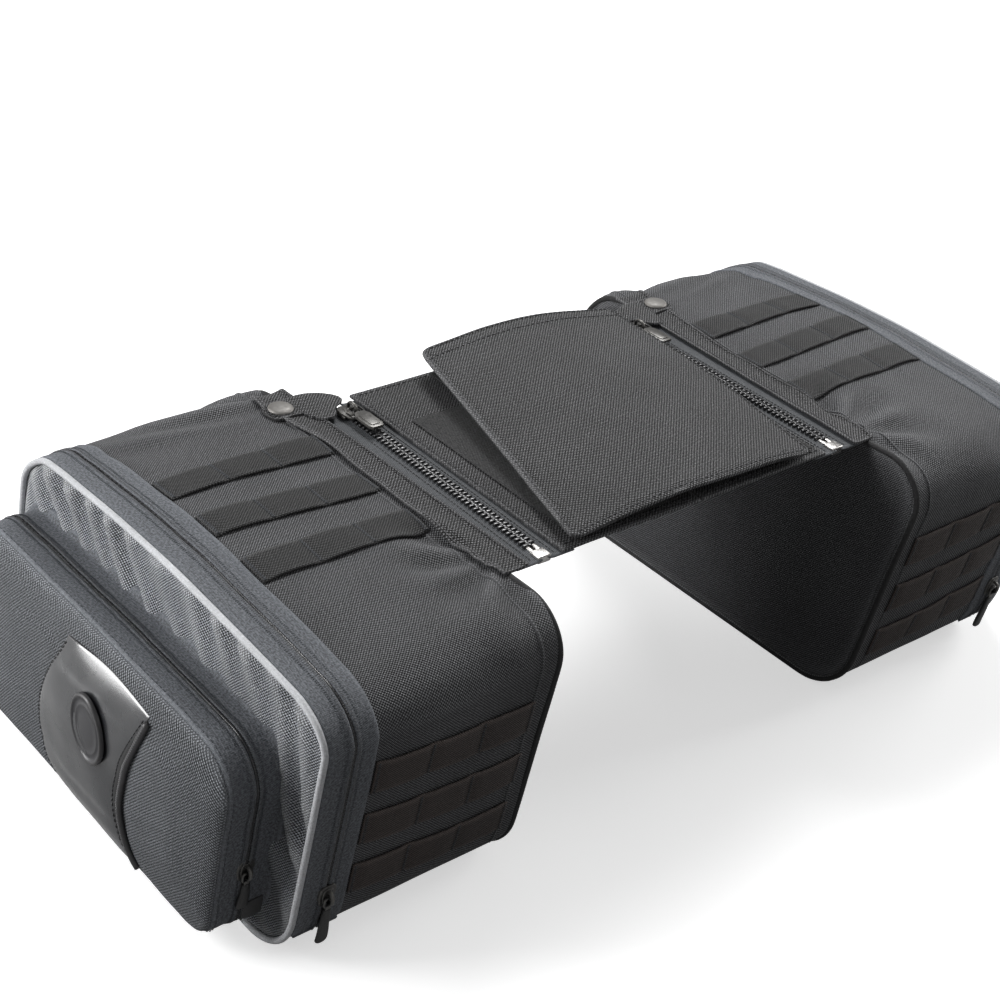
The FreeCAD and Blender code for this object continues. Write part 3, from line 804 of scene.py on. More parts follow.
def make_bag():
    """The bag's cloth, its back panel with a binding round it, and a low welt beside the back."""
    x0, x1 = BACK_X, SEAM_X
    stations = [(x0 + 0.6 * MM, -3.2 * MM), (x0 + 1.2 * MM, -1.2 * MM), (x0 + 2.5 * MM, -0.2 * MM)]
    stations += [(x, 0.0) for x in steps(x0 + 5 * MM, x1 - 0.4 * MM, 44)]
    body = loft("right_bag_cloth", bag_point, BAG, stations)
    thicken(body, GUSSET_THICK, lined=True)
    keep(body, "right_bag", "right_gusset", [BODY_CLOTH, LINING])
    edge = [bag_point(x0 + 1.3 * MM, i, -2.6 * MM, 0.2) for i in range(AROUND)]
    back = face_panel("right_back_cloth", edge, lambda y, z, t: MM * (
        0.9 * ripple(0.2, y, z, 14, 3.3) * (1 - t) - 0.6 * (1 - t * t)), rings=22)
    back.data.flip_normals()
    thicken(back, PANEL_THICK, lined=True)
    keep(back, "right_bag", "right_back_panel", [BODY_CLOTH, LINING])
    binding = [bag_point(x0 + 1.8 * MM, i, -0.9 * MM, 0.3) for i in range(AROUND)]
    keep(tube_piece("right_back_binding", binding, 2.1 * MM, closed=True), "right_bag", (), LINING)
    welt = [bag_point(x0 + 15 * MM, i, 0.1 * MM) for i in range(BAND_FIRST, BAND_LAST)]
    keep(tube_piece("right_bag_welt", welt, 1.0 * MM, squash=0.6), "right_bag", (), BODY_CLOTH)


def make_lid():
    """The lid's rim, its rippled face and the beading between them."""
    x0, x1 = LID_X, FACE_X
    stations = [(x0 + 0.4 * MM, -1.5 * MM), (x0 + 0.8 * MM, 0.0)]
    stations += [(x, 0.0) for x in steps(x0 + 2 * MM, x1 - 2 * MM, 8)]
    stations += [(x1 - 0.6 * MM, -0.6 * MM), (x1, -2.2 * MM)]
    rim = loft("right_lid_cloth", bag_point, BAG, stations)
    thicken(rim, PANEL_THICK, lined=True)
    keep(rim, "right_lid", "right_lid_shell", [BODY_CLOTH, LINING])
    edge = [bag_point(x1, i, -2.2 * MM) for i in range(AROUND)]

    def waves(y, z, t):
        fade = smooth(1 - t, 0.0, 0.05)
        fold = math.sin(y / (4.3 * MM) + z / (11 * MM) + 4.5 * ripple(0.0, y, z, 11, 4.4))
        share = 0.6 + 0.9 * ripple(0.0, y, z, 16, 8.8)
        return MM * fade * (1.6 + 3.0 * fold * share + 1.8 * ripple(0.0, y, z, 30, 1.1))

    face = face_panel("right_lid_face", edge, waves, rings=34)
    thicken(face, PANEL_THICK, lined=True)
    keep(face, "right_lid", (), [LID_CLOTH, LINING])
    roll = [bag_point(x1 + 1.4 * MM, i, -0.9 * MM) for i in range(AROUND)]
    beading = tube_piece("right_lid_beading", roll, 2.1 * MM, closed=True, sides=10)
    keep(beading, "right_lid", "right_lid_piping", PIPING)


def coil_piece(name, ring_point, x, numbers, closed=False):
    """A zip's coil: a round cord pinched into beads."""
    path = [Vector(ring_point(x, i, 0.0)) for i in numbers]
    beads = []
    pairs = list(zip(path, path[1:] + path[:1])) if closed else list(zip(path, path[1:]))
    for here, there in pairs:
        beads += [here + (there - here) * k / 4 for k in range(4)]
    verts, faces = tube(beads, 1.0 * MM, sides=6, closed=closed)
    rings = np.array(verts).reshape(len(beads), 6, 3)
    centres = rings.mean(1, keepdims=True)
    size = np.where(np.arange(len(beads)) % 2, 0.72, 1.45)[:, None, None]
    return face_uvs(mesh_piece(name, (centres + (rings - centres) * size).reshape(-1, 3).tolist(), faces))


def tick_rows(ring_point, ring, x, out, numbers, reach=0.9):
    """Short stitches across a zip tape, close together along the line at x."""
    parts = []
    for i in numbers:
        for share in (0.0, 0.5):
            j = (i + 1) % AROUND
            a, b = Vector(ring_point(x, i, out)), Vector(ring_point(x, j, out))
            centre = a + (b - a) * share
            up = Vector((0.0, ring[1][i][0], ring[1][i][1]))
            ends = [centre + Vector((d * MM, 0, 0)) + up * h * MM for d, h in (
                (-reach, -0.3), (-reach * 0.5, 0.2), (reach * 0.5, 0.2), (reach, -0.3))]
            parts.append(tube(ends, 0.2 * MM, sides=4))
    return parts


def make_band_tapes():
    """Slate tape on both sides of the lid's zip: a roll along the coil, a flat stretch and a hem."""
    roll = ((0.0, 0.5), (0.3, 1.6), (1.4, 2.0), (3.0, 1.7), (5, 1.45), (7, 1.45), (9, 1.45), (11, 1.45))
    hem = SEAM_X - BAND_WIDE
    body = [(hem - 0.1 * MM, 0.1 * MM), (hem + 0.3 * MM, 1.0 * MM), (hem + 1.5 * MM, 1.5 * MM)]
    body += [(SEAM_X - d * MM, out * MM) for d, out in reversed(roll)]
    lid = [(LID_X + d * MM, out * MM) for d, out in (*roll, (13, 1.45), (14.6, 1.3), (15.4, 0.8), (15.8, 0.0))]
    keep(loft("right_band_body", bag_point, BAG, body, BAND_FIRST, BAND_LAST), "right_bag",
         "right_body_zip_band", BAND_CLOTH)
    keep(loft("right_band_lid", bag_point, BAG, lid, BAND_FIRST, BAND_LAST), "right_lid",
         "right_lid_zip_band", BAND_CLOTH)


def make_band_stitches():
    """The coil between the two tapes, and rows of short stitches along both of its sides."""
    coil = coil_piece("right_lid_coil", lambda x, i, out: bag_point(x, i, 0.5 * MM), (SEAM_X + LID_X) / 2,
                      range(BAND_FIRST, BAND_LAST + 1))
    keep(coil, "right_bag", (), TEETH)
    for kind, away, out, reach, thread in (
            ("", 4.2, 1.6, 0.9, BAND_THREAD), ("_coil", 1.5, 2.2, 0.75, PALE_THREAD)):
        for name, x, body in (
                ("body", SEAM_X - away * MM, "right_bag"), ("lid", LID_X + away * MM, "right_lid")):
            rows = tick_rows(bag_point, BAG, x, out * MM, range(BAND_FIRST, BAND_LAST), reach=reach)
            keep(joined(f"right_band_{name}{kind}_stitches", rows), body, (), thread)


def make_band_ends():
    """A folded end of tape at both ends of each half of the band."""
    for name, x, body in (
            ("body", SEAM_X - BAND_WIDE / 2, "right_bag"), ("lid", LID_X + BAND_WIDE / 2, "right_lid")):
        parts = []
        for i in (BAND_FIRST, BAND_LAST):
            ny, nz = BAG[1][i]
            parts.append(block(bag_point(x, i, 1.3 * MM), (BAND_WIDE, 3.0 * MM, 1.6 * MM),
                               (Vector((1, 0, 0)), Vector((0, -nz, ny)), Vector((0, ny, nz)))))
        keep(rounded_edges(joined(f"right_band_{name}_end", parts), 0.7 * MM), body, (), BAND_CLOTH)


# ---------------------------------------------------------------- pocket


def make_pocket_band():
    """The pocket's fixed band, flared where it is sewn to the lid."""
    stations = [(FACE_X + d * MM, out * MM) for d, out in ((-1.0, 5.0), (1.2, 3.2), (2.4, 1.2), (4, 0.3))]
    stations += [(x, 0.2 * MM) for x in steps(FACE_X + 6 * MM, RIM_X - 3 * MM, 6)]
    stations += [(RIM_X - 1.6 * MM, 0.7 * MM), (RIM_X - 0.3 * MM, 0.6 * MM), (RIM_X, -1.0 * MM)]
    rim = loft("right_pocket_band", pocket_point, POCKET, stations)
    thicken(rim, POCKET_TAPE_THICK, lined=True)
    keep(rim, "right_lid", "right_pocket_rim", [BAND_CLOTH, LINING])


def make_pocket_side():
    """The band round the part of the pocket that opens."""
    stations = [(FRONT_X, -1.0 * MM), (FRONT_X + 0.3 * MM, 0.6 * MM), (FRONT_X + 1.6 * MM, 0.7 * MM)]
    stations += [(x, 0.2 * MM) for x in steps(FRONT_X + 3 * MM, FRONT_X + 15 * MM, 6)]
    stations += [(FRONT_X + 16.5 * MM, -0.6 * MM), (FRONT_X + 17.2 * MM, -1.6 * MM)]
    side = loft("right_pocket_side", pocket_point, POCKET, stations)
    thicken(side, POCKET_TAPE_THICK, lined=True)
    keep(side, "right_pocket", (), [BAND_CLOTH, LINING])


def make_pocket_panel():
    """The pocket's crowned front panel, fused to its rolled shoulder."""
    roll = [(FRONT_X + d * MM, -sunk * MM) for d, sunk in (
        (16.4, 2.4), (17.0, 1.4), (18.2, 1.2), (19.8, 2.4), (21.6, 5.0), (23.2, 8.6), (24.6, 13.0),
        (25.6, 18.0))]
    rim_x, rim_out = FRONT_X + 26.4 * MM, -23.5 * MM
    shoulder = loft("right_pocket_shoulder", pocket_point, POCKET, roll)
    edge = [pocket_point(rim_x, i, rim_out) for i in range(AROUND)]

    def bulge(y, z, t):
        folds = 2.2 * ripple(0.1, y, z, 13, 5.5) + 1.2 * ripple(0.1, y, z, 33, 2.5)
        return MM * (3.6 * (1 - t * t) + folds * min(1.0, (1 - t) * 6 + 0.15))

    panel = face_panel("right_pocket_panel", edge, bulge, rings=26)
    bridge = loft("right_pocket_bridge", pocket_point, POCKET, [roll[-1], (rim_x, rim_out)])
    pieces = [shoulder, bridge, panel]
    with bpy.context.temp_override(active_object=panel, selected_editable_objects=pieces, object=panel,
                                   selected_objects=pieces):
        bpy.ops.object.join()
    fuse_points(panel, 0.4 * MM)
    face_uvs(panel)
    thicken(panel, PANEL_THICK, lined=True)
    return keep(panel, "right_pocket", "right_pocket_front", [POCKET_CLOTH, LINING])


def make_pocket_stitches():
    """The pocket zip's coil, and the stitches beside it and along both bands."""
    everywhere = range(AROUND)
    coil = coil_piece("right_pocket_coil", lambda x, i, out: pocket_point(x, i, -0.1 * MM),
                      (RIM_X + FRONT_X) / 2, everywhere, closed=True)
    keep(coil, "right_lid", (), TEETH)
    for name, x, body in (
            ("band", RIM_X - 1.3 * MM, "right_lid"), ("side", FRONT_X + 1.3 * MM, "right_pocket")):
        rows = tick_rows(pocket_point, POCKET, x, 0.95 * MM, everywhere, reach=0.7)
        keep(joined(f"right_pocket_{name}_coil_stitches", rows), body, (), PALE_THREAD)
    rows = tick_rows(pocket_point, POCKET, RIM_X - 3.6 * MM, 0.3 * MM, everywhere)
    keep(joined("right_pocket_band_stitches", rows), "right_lid", (), BAND_THREAD)
    rows = tick_rows(pocket_point, POCKET, FRONT_X + 3.6 * MM, 0.3 * MM, everywhere)
    rows += seam_rows(pocket_point, POCKET, FRONT_X + 14.6 * MM, 0.35 * MM, 0, AROUND - 1, radius=0.25)
    keep(joined("right_pocket_side_stitches", rows), "right_pocket", (), BAND_THREAD)


def fuse_points(obj, distance):
    """Joins points of obj that lie closer together than distance."""
    work = bmesh.new()
    work.from_mesh(obj.data)
    bmesh.ops.remove_doubles(work, verts=work.verts, dist=distance)
    work.to_mesh(obj.data)
    work.free()


# ---------------------------------------------------------------- leather patch and badge


def surface_over(obj):
    """Finds the point and normal of obj that faces +X over a place (y, z)."""
    tree = BVHTree.FromObject(obj, bpy.context.evaluated_depsgraph_get())

    def over(y, z, out=0.0):
        point, normal, _, _ = tree.ray_cast(Vector((1.0, y, z)), Vector((-1, 0, 0)))
        if point is None:
            return None
        return point + normal * out

    return over


def make_patch(panel):
    """Leather patch from under the pocket's top seam to its rolled bottom, padded and leaning forward."""
    over = surface_over(panel)
    badge_lo, badge_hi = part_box("right_badge")
    heights = [h * MM for h in (21, 33, 55, 87, 120, 148)]
    rear_curve = np.polyfit(heights, [y * MM for y in (-44, -50, -55, -48, -33, -19)], 3)
    fore_curve = np.polyfit(heights, [y * MM for y in (54, 48, 41, 46, 62, 74)], 3)

    def point(s, t, out=0.0):
        z = heights[0] + (heights[-1] - heights[0]) * t
        z += 4 * MM * t * (4 * s * (1 - s) - 0.5)
        rear, fore = np.polyval(rear_curve, z), np.polyval(fore_curve, z)
        y = rear + (fore - rear) * s
        found, down = over(y, z), z
        while found is None:
            down += (0.6 if t < 0.5 else -0.6) * MM
            found = over(y, down)
        inner = min(max(s, 0), 1)
        pad = 4.6 * (4 * inner * (1 - inner)) ** 0.45 * min(1.0, (1 - t) * 5, t * 6 + 0.3)
        pad += 1.1 * ripple(0.3, y, z, 22, 7.7) * min(1.0, 8 * inner * (1 - inner))
        return Vector((found.x + (0.3 + pad) * MM + out, y, z))

    us, vs = steps(0.0, 1.0, 56), steps(0.0, 1.0, 64)
    verts = [point(s, t) for t in vs for s in us]
    uvs = [(v.y, v.z) for v in verts]
    sheet = mesh_piece("right_patch", verts, grid_faces(64, 56), uvs)
    thicken(sheet, LEATHER_THICK)
    rounded_edges(sheet, 0.6 * MM, 2, 50)
    keep(sheet, "right_pocket", "right_leather_patch", PATCH_LEATHER)
    rows = []
    for s in (0.02, 0.968):
        path = [point(s, t, 0.15 * MM) for t in steps(0.02, 0.98, 60)]
        rows += stitch_run(path, [(1.0, 0.0, 0.0)] * len(path), length=2.6, gap=1.5, radius=0.3)
    keep(joined("right_patch_stitches", rows), "right_pocket", (), THREAD)
    fold = [point(1.0, t, 0.9 * MM) + Vector((0, (1.4 + 2.2 * math.sin(math.pi * t)) * MM, 0))
            for t in steps(0.0, 0.97, 60)]
    keep(tube_piece("right_patch_roll", fold, 2.1 * MM, sides=12), "right_pocket", (), BADGE_RUBBER)
    ribs = []
    for here, there in zip(fold, fold[1:]):
        ribs.append(tube([here + Vector((1.2 * MM, -1.9 * MM, 0)), here * 0.5 + there * 0.5 +
                          Vector((2.0 * MM, 0.6 * MM, 0))], 0.4 * MM, sides=5))
    keep(joined("right_patch_roll_stitches", ribs), "right_pocket", (), PALE_THREAD)
    make_badge(surface_over(sheet), (badge_lo + badge_hi) / 2, (badge_hi - badge_lo))


def dome(name, profile, sides, place, tip):
    """A dome through rings: profile holds (share, rise) pairs, place(share, rise, angle) gives a point, and
    tip is the middle of its top."""
    verts = [place(share, rise, 2 * math.pi * k / sides) for share, rise in profile for k in range(sides)]
    verts.append(tip)
    faces = grid_faces(len(profile), sides, True)
    start = (len(profile) - 1) * sides
    faces += [(start + k, start + (k + 1) % sides, len(verts) - 1) for k in range(sides)]
    return face_uvs(mesh_piece(name, verts, faces))


def make_badge(over, centre, size):
    """Plain oval badge: a low dome with a raised rim and a smaller ridge inside it."""
    base = over(centre.y, centre.z).x - 2.4 * MM
    profile = [(1.0, 0.0), (0.995, 1.6), (0.96, 2.5), (0.91, 2.6), (0.87, 2.0), (0.83, 1.3), (0.74, 1.35),
               (0.70, 1.9), (0.66, 1.95), (0.62, 1.45), (0.45, 1.9), (0.22, 2.2)]

    def place(share, rise, a):
        return (base + (2.0 + rise) * MM, centre.y + size.y / 2 * share * math.cos(a),
                centre.z + size.z / 2 * share * math.sin(a))

    oval = dome("right_badge_oval", profile, 72, place, (base + 4.3 * MM, centre.y, centre.z))
    keep(oval, "right_pocket", "right_badge", BADGE_RUBBER)


# ---------------------------------------------------------------- webbing rows


def band_strip(name, surface, along, across, tacks, thickness, lift):
    """A strap laid on a surface: tacked down at tacks, and a little off it between them."""
    def height(a):
        nearest = min(abs(a - t) for t in tacks)
        return 0.5 * MM + lift * (1 - math.exp(-(nearest / (5 * MM)) ** 2))

    verts, uvs = [], []
    for b in across:
        for a in along:
            edge = min(abs(b - across[0]), abs(b - across[-1]))
            verts.append(surface(a, b, height(a) + thickness * (0.55 + 0.45 * min(1.0, edge / (1.2 * MM)))))
            uvs.append((a, b))
    piece = mesh_piece(name, verts, grid_faces(len(across), len(along)), uvs)
    thicken(piece, thickness)
    return piece, height


def bar_tack(surface, a, b0, b1, top):
    """Close zigzag stitches across a strap."""
    count = 22
    path = [surface(a + (0.9 if k % 2 else -0.9) * MM, b0 + (b1 - b0) * k / count, top)
            for k in range(count + 1)]
    return [tube(path, 0.32 * MM, sides=5)]


def strap_row(name, surface, first, wide, ends_x, tack_parts):
    """A row of webbing across X on a surface, tacked at four places; tack_parts takes the tacks' stitches."""
    tacks = steps(ends_x[0] + 1.5 * MM, ends_x[1] - 1.5 * MM, 4)
    strip, height = band_strip(name, surface, steps(*ends_x, 70), steps(first, first + wide, 14), tacks,
                               WEBBING_THICK, WEBBING_RISE)
    for a in tacks:
        tack_parts += bar_tack(surface, a, first + MM, first + wide - MM, height(a) + 1.45 * MM)
    return strip


def make_webbing():
    """Three rows on the bag's top, and three that lean a little on its front."""
    tack_parts = []
    lo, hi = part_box("right_top_webbing")
    wide = WEBBING_WIDE
    rows = [strap_row(f"right_top_strap_{k + 1}", on_top, y, wide, (lo.x, hi.x), tack_parts)
            for k, y in enumerate((lo.y, (lo.y + hi.y - wide) / 2, hi.y - wide))]
    for k, strip in enumerate(rows):
        keep(strip, "right_bag", "right_top_webbing" if k == 0 else (), TOP_WEBBING)
    lo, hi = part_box("right_front_webbing")
    tall = WEBBING_WIDE * math.cos(LEAN)

    def tilted(x, up, out=0.0):
        return on_front(x, up + (x - (lo.x + hi.x) / 2) * 0.07, out)

    for k, z in enumerate((lo.z, (lo.z + hi.z - tall) / 2, hi.z - tall)):
        strip = strap_row(f"right_front_strap_{k + 1}", tilted, z, tall, (lo.x, hi.x), tack_parts)
        strip.data.flip_normals()
        keep(strip, "right_bag", "right_front_webbing" if k == 0 else (), FRONT_WEBBING)
    keep(joined("right_strap_tacks", tack_parts), "right_bag", (), BAND_THREAD)


# ---------------------------------------------------------------- flange, zips and the tab with its stud

FLANGE_REAR = low("right_placket").y
FLANGE_FORE = high("right_placket").y
FOLD_X = (high("right_placket").x + low("right_placket_hem").x) / 2
FOLD = ((FOLD_X - 3 * MM, 0, BAG_HIGH), (FOLD_X + 3 * MM, 0, BAG_HIGH))
TAB_TOP = high("right_lock_strap").z


def flange_point(s, y, out=0.0):
    """Upper face of the cloth flange, with s from 0 by the zip to 1 at its stitched outer edge: level over
    the zip tape, then down onto the bag's top. It widens towards the rear and narrows at its front end."""
    along = (y - FLANGE_REAR) / (FLANGE_FORE - FLANGE_REAR)
    inner = (150 - 6.5 * along) * MM
    outer = (166 + 10 * smooth(y, -30 * MM, -112 * MM) - 4 * smooth(y, 112 * MM, 134 * MM)) * MM
    x = inner + (outer - inner) * s
    level = high("right_placket").z - 0.2 * MM
    rest = on_top(x, y)[2] + 2.2 * MM
    drop = smooth(x, FOLD_X - 2 * MM, FOLD_X + 9 * MM)
    wave = 0.7 * MM * ripple(x * 0.4, y, 0.2, 20, 5.9)
    roll = MM * (1.0 * math.exp(-((s - 0.06) / 0.09) ** 2) + 0.9 * math.exp(-((s - 0.93) / 0.08) ** 2))
    return (x, y, level * (1 - drop) + rest * drop + wave + roll + out)


def make_flange():
    """The flange, which bends at the fold, and the two rows of stitches that hold its edges."""
    flange = grid_piece("right_flange", flange_point, steps(0.0, 1.0, 40), steps(FLANGE_REAR, FLANGE_FORE, 130),
                        flat=True)
    thicken(flange, FLANGE_THICK)
    rounded_edges(flange, 0.5 * MM, 2, 50)
    cut = flat_cut(flange_point, steps(0, 1, 20), steps(FLANGE_REAR, FLANGE_FORE, 30), "laid",
                   ["right_bag_zip_half", "right_gusset"])
    keep(flange, ("yoke", "right_bag"), ["right_placket", "right_placket_hem"], FLAP_CLOTH, bends=FOLD, cut=cut)
    for name, share, body, thread in (("in", 0.1, "yoke", THREAD), ("out", 0.9, "right_bag", PALE_THREAD)):
        path = [flange_point(share, y, 0.1 * MM)
                for y in steps(FLANGE_REAR + 3 * MM, FLANGE_FORE - 3 * MM, 130)]
        rows = stitch_run(path, length=2.2, gap=0.9, radius=0.32)
        keep(joined(f"right_flange_stitches_{name}", rows), body, (), thread)


def tooth(turn, y):
    """One moulded tooth: a square body on the tape and a waisted head that hooks its neighbours."""
    inner, outer = ZIP_X - turn * TOOTH_HOOK, ZIP_X + turn * TOOTH_REACH
    body = block(((inner + outer) / 2 + turn * 1.0 * MM, y, ZIP_Z + 0.3 * MM),
                 (abs(outer - inner) - 2.0 * MM, TOOTH_LONG, 5.4 * MM))
    head = block((inner + turn * 1.2 * MM, y, ZIP_Z + 0.2 * MM), (2.4 * MM, TOOTH_LONG * 1.2, 4.6 * MM))
    return [body, head]


def make_zip_half(name, node_name, turn):
    """Tape with a corded edge, its teeth and a row of stitches; turn is 1 for the bag's half, else -1."""
    lo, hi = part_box(node_name)
    cord_x = ZIP_X + turn * 2.6 * MM
    outer = hi.x if turn > 0 else lo.x

    def tape(u, v):
        cord = 0.8 * MM * math.exp(-((u - cord_x) / (2.2 * MM)) ** 2)
        return (u, v, ZIP_Z + 0.45 * MM + cord + 0.15 * MM * ripple(u, v, 0.0, 30, 3.0))

    across = steps(min(cord_x, outer), max(cord_x, outer), 16)
    strip = grid_piece(f"right_zip_tape_{name}", tape, across, steps(lo.y, hi.y, 90))
    thicken(strip, ZIP_TAPE_THICK)
    keep(strip, "yoke", node_name, TAPE)
    parts, y = [], CHAIN_REAR + (2.0 if turn > 0 else 4.0) * MM
    while y < CHAIN_FORE - 0.5 * MM:
        parts += tooth(turn, y)
        y += TOOTH_PITCH
    keep(rounded_edges(joined(f"right_zip_teeth_{name}", parts), 0.45 * MM, 2), "yoke", (), TEETH)
    row_x = ZIP_X + turn * 9.0 * MM
    path = [(row_x, v, ZIP_Z + 0.55 * MM) for v in steps(lo.y + 2 * MM, hi.y - 2 * MM, 90)]
    rows = stitch_run(path, length=2.0, gap=1.0, radius=0.26)
    keep(joined(f"right_zip_tape_stitches_{name}", rows), "yoke", (), THREAD)


def make_zip_ends():
    """The box and pins at the front end of the teeth, and the stops at their rear end."""
    y, z = CHAIN_FORE + 7 * MM, ZIP_Z
    parts = [block((ZIP_X, y + 1.5 * MM, z), (10 * MM, 9 * MM, 5.0 * MM)),
             block((ZIP_X - 2.5 * MM, y - 4.5 * MM, z + 0.4 * MM), (3 * MM, 9 * MM, 3.4 * MM)),
             block((ZIP_X + 2.5 * MM, y - 4.5 * MM, z + 0.4 * MM), (2.6 * MM, 9 * MM, 3.4 * MM))]
    keep(rounded_edges(joined("right_zip_box", parts), 0.8 * MM), "yoke", (), SILVER)
    parts = [block((ZIP_X + d * MM, CHAIN_REAR - 1.6 * MM, z), (3.4 * MM, 3 * MM, 5.2 * MM))
             for d in (-3.4, 3.4)]
    keep(rounded_edges(joined("right_zip_stops", parts), 0.6 * MM), "yoke", (), GUNMETAL)


def prism_part(points, z0, z1):
    """(verts, faces) of a plate with this outline."""
    count = len(points)
    verts = [(x, y, z0) for x, y in points] + [(x, y, z1) for x, y in points]
    faces = [tuple(range(count))[::-1], tuple(range(count, 2 * count))]
    faces += [(i, (i + 1) % count, count + (i + 1) % count, count + i) for i in range(count)]
    return verts, faces


def make_slider(name, node_name, seat, body, wide, long, under=0.0):
    """Slider: tapered cover plate with side lips and the bail over it, in millimetres. The open zip's slider
    has a second plate at a depth of under, and a divider between the two."""
    shape = [(-0.30, -0.5), (0.30, -0.5), (0.46, -0.36), (0.5, -0.05), (0.38, 0.42), (0.26, 0.5), (-0.26, 0.5),
             (-0.38, 0.42), (-0.5, -0.05), (-0.46, -0.36)]
    plate = [(x * wide * MM, y * long * MM) for x, y in shape]
    rise = [(x * 0.62, y * 0.78) for x, y in plate]
    parts = [prism_part(plate, 0.5 * MM, 2.3 * MM), prism_part(rise, 2.1 * MM, 3.0 * MM)]
    for turn in (-1, 1):
        parts.append(block((turn * wide * 0.455 * MM, -long * 0.08 * MM, -0.1 * MM),
                           (wide * 0.07 * MM, long * 0.52 * MM, 2.0 * MM)))
    if under:
        parts.append(prism_part(plate, -(under + 2.0) * MM, -under * MM))
        parts.append(block((0, -long * 0.40 * MM, -under / 2 * MM),
                           (1.0 * MM, long * 0.16 * MM, (under + 1.2) * MM)))
    bail = [(0, y * MM, z * MM) for y, z in (
        (-4.6, 2.0), (-4.5, 4.4), (-3.9, 6.2), (-2.4, 7.3), (0, 7.5), (2.0, 7.3), (3.4, 6.2), (3.9, 4.4),
        (3.9, 2.0))]
    parts.append(tube(bail, 1.15 * MM, sides=8, normals=[(1, 0, 0)] * len(bail), squash=1.3))
    piece = joined(name, parts)
    piece.data.transform(seat)
    rounded_edges(piece, 0.5 * MM)
    keep(piece, body, node_name, BLACK_METAL)


def ring_parts(wide, reach):
    """Wire end of a pull: a bar through the bail, and two arms."""
    w = wide / 2 - 1.0
    loop = [(-w, 1.0), (-w + 0.6, 0.1), (-w + 1.4, 0.0), (0, 0), (w - 1.4, 0.0), (w - 0.6, 0.1), (w, 1.0),
            (w, reach), (w - 0.6, reach + 1.0), (0, reach + 1.1), (-w + 0.6, reach + 1.0), (-w, reach)]
    path = [(x * MM, y * MM, 4.3 * MM) for x, y in loop]
    return [tube(path, 0.95 * MM, sides=8, closed=True)]


def make_metal_pull(name, node_name, seat, body, wide, long):
    """Cast pull of the open zip: a ring and a tapered tab with a raised edge."""
    parts = ring_parts(wide, 6.4)
    tab = [(-0.30, 7.2), (0.30, 7.2), (0.5, 11), (0.5, long - 4), (0.36, long - 0.6), (-0.36, long - 0.6),
           (-0.5, long - 4), (-0.5, 11)]
    outer = [(x * wide * MM, y * MM) for x, y in tab]
    middle_y = (8 + long) / 2 * MM
    parts.append(prism_part(outer, 3.3 * MM, 5.2 * MM))
    inner = [(x * 0.66, middle_y + (y - middle_y) * 0.74) for x, y in outer]
    parts.append(prism_part(inner, 5.1 * MM, 5.7 * MM))
    piece = joined(name, parts)
    piece.data.transform(seat)
    keep(rounded_edges(piece, 0.45 * MM), body, node_name, BLACK_METAL)


def make_leather_pull(name, node_name, seat, body, wide, long, sways):
    """Wire ring, a short metal bar and a folded leather tail that widens towards its end; sways is the side,
    1 or -1, that it curls to."""
    wire = joined(name + "_ring", ring_parts(wide - 1.5, 5.6) + [
        block((0, 9.6 * MM, 4.3 * MM), (3.4 * MM, 6.4 * MM, 1.8 * MM))])
    wire.data.transform(seat)
    keep(rounded_edges(wire, 0.4 * MM), body, (), BLACK_METAL)
    rows, cols, verts = 26, 12, []
    for r in range(rows):
        t = r / (rows - 1)
        y = 9.0 + (long - 9.6) * t
        half = (0.27 + 0.22 * t ** 0.8) * wide
        half *= math.sqrt(max(0.0, 1 - max(0.0, (t - 0.93) / 0.075) ** 2)) * 0.999 + 0.001
        thick = 1.35 + 0.25 * math.sin(math.pi * t)
        sway = 0.5 * math.sin(2.1 * t * math.pi) * t
        for c in range(cols):
            a = 2 * math.pi * c / cols
            across = half * math.copysign(abs(math.cos(a)) ** 0.5, math.cos(a)) + sways * sway
            up = 4.3 + thick * math.copysign(abs(math.sin(a)) ** 0.7, math.sin(a))
            verts.append((across * MM, y * MM, up * MM))
    faces = grid_faces(rows, cols, True)
    faces += [tuple(range(cols))[::-1], tuple((rows - 1) * cols + c for c in range(cols))]
    tail = face_uvs(mesh_piece(name, verts, faces))
    soften(tail, 1)
    tail.data.transform(seat)
    keep(tail, body, node_name, PULL_LEATHER)


def seat_at(x, y, z, hang):
    """The frame of a slider: level and pulling forward, or on the sloping front and hanging."""
    turn = Matrix.Rotation(-(math.pi / 2 + LEAN), 4, "X") if hang else Matrix.Identity(4)
    return Matrix.Translation((x, y, z)) @ turn


def make_sliders():
    """The three sliders and their pulls, each pair on one seat."""
    lo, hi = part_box("right_zip_slider")
    seat = seat_at(ZIP_X, (lo.y + hi.y) / 2, ZIP_Z + 2.5 * MM, False)
    make_slider("right_zip_slider_body", "right_zip_slider", seat, "right_zip_slider",
                wide=17, long=18, under=5.4)
    make_metal_pull("right_zip_pull_tab", "right_zip_pull", seat, "right_zip_pull", wide=11, long=30)
    z = LID_SLIDER_Z
    y = BAG_LEN / 2 + SLANT * (z - BAG_MID)
    seat = seat_at((SEAM_X + LID_X) / 2, y + 1.5 * MM * math.cos(LEAN), z - 1.5 * MM * math.sin(LEAN), True)
    make_slider("right_lid_slider_body", "right_lid_slider", seat, "right_lid_slider", wide=12, long=16)
    make_leather_pull("right_lid_pull_tail", "right_lid_pull", seat, "right_lid_pull",
                      wide=9, long=40, sways=1)
    z = POCKET_SLIDER_Z
    y = POCKET_SHIFT + POCKET_LEN / 2 + SLANT * (z - BAG_MID)
    seat = seat_at((RIM_X + FRONT_X) / 2, y, z, True)
    make_slider("right_pocket_slider_body", "right_pocket_slider", seat, "right_pocket_slider",
                wide=12, long=16)
    make_leather_pull("right_pocket_pull_tail", "right_pocket_pull", seat, "right_pocket_pull",
                      wide=9, long=31, sways=-1)


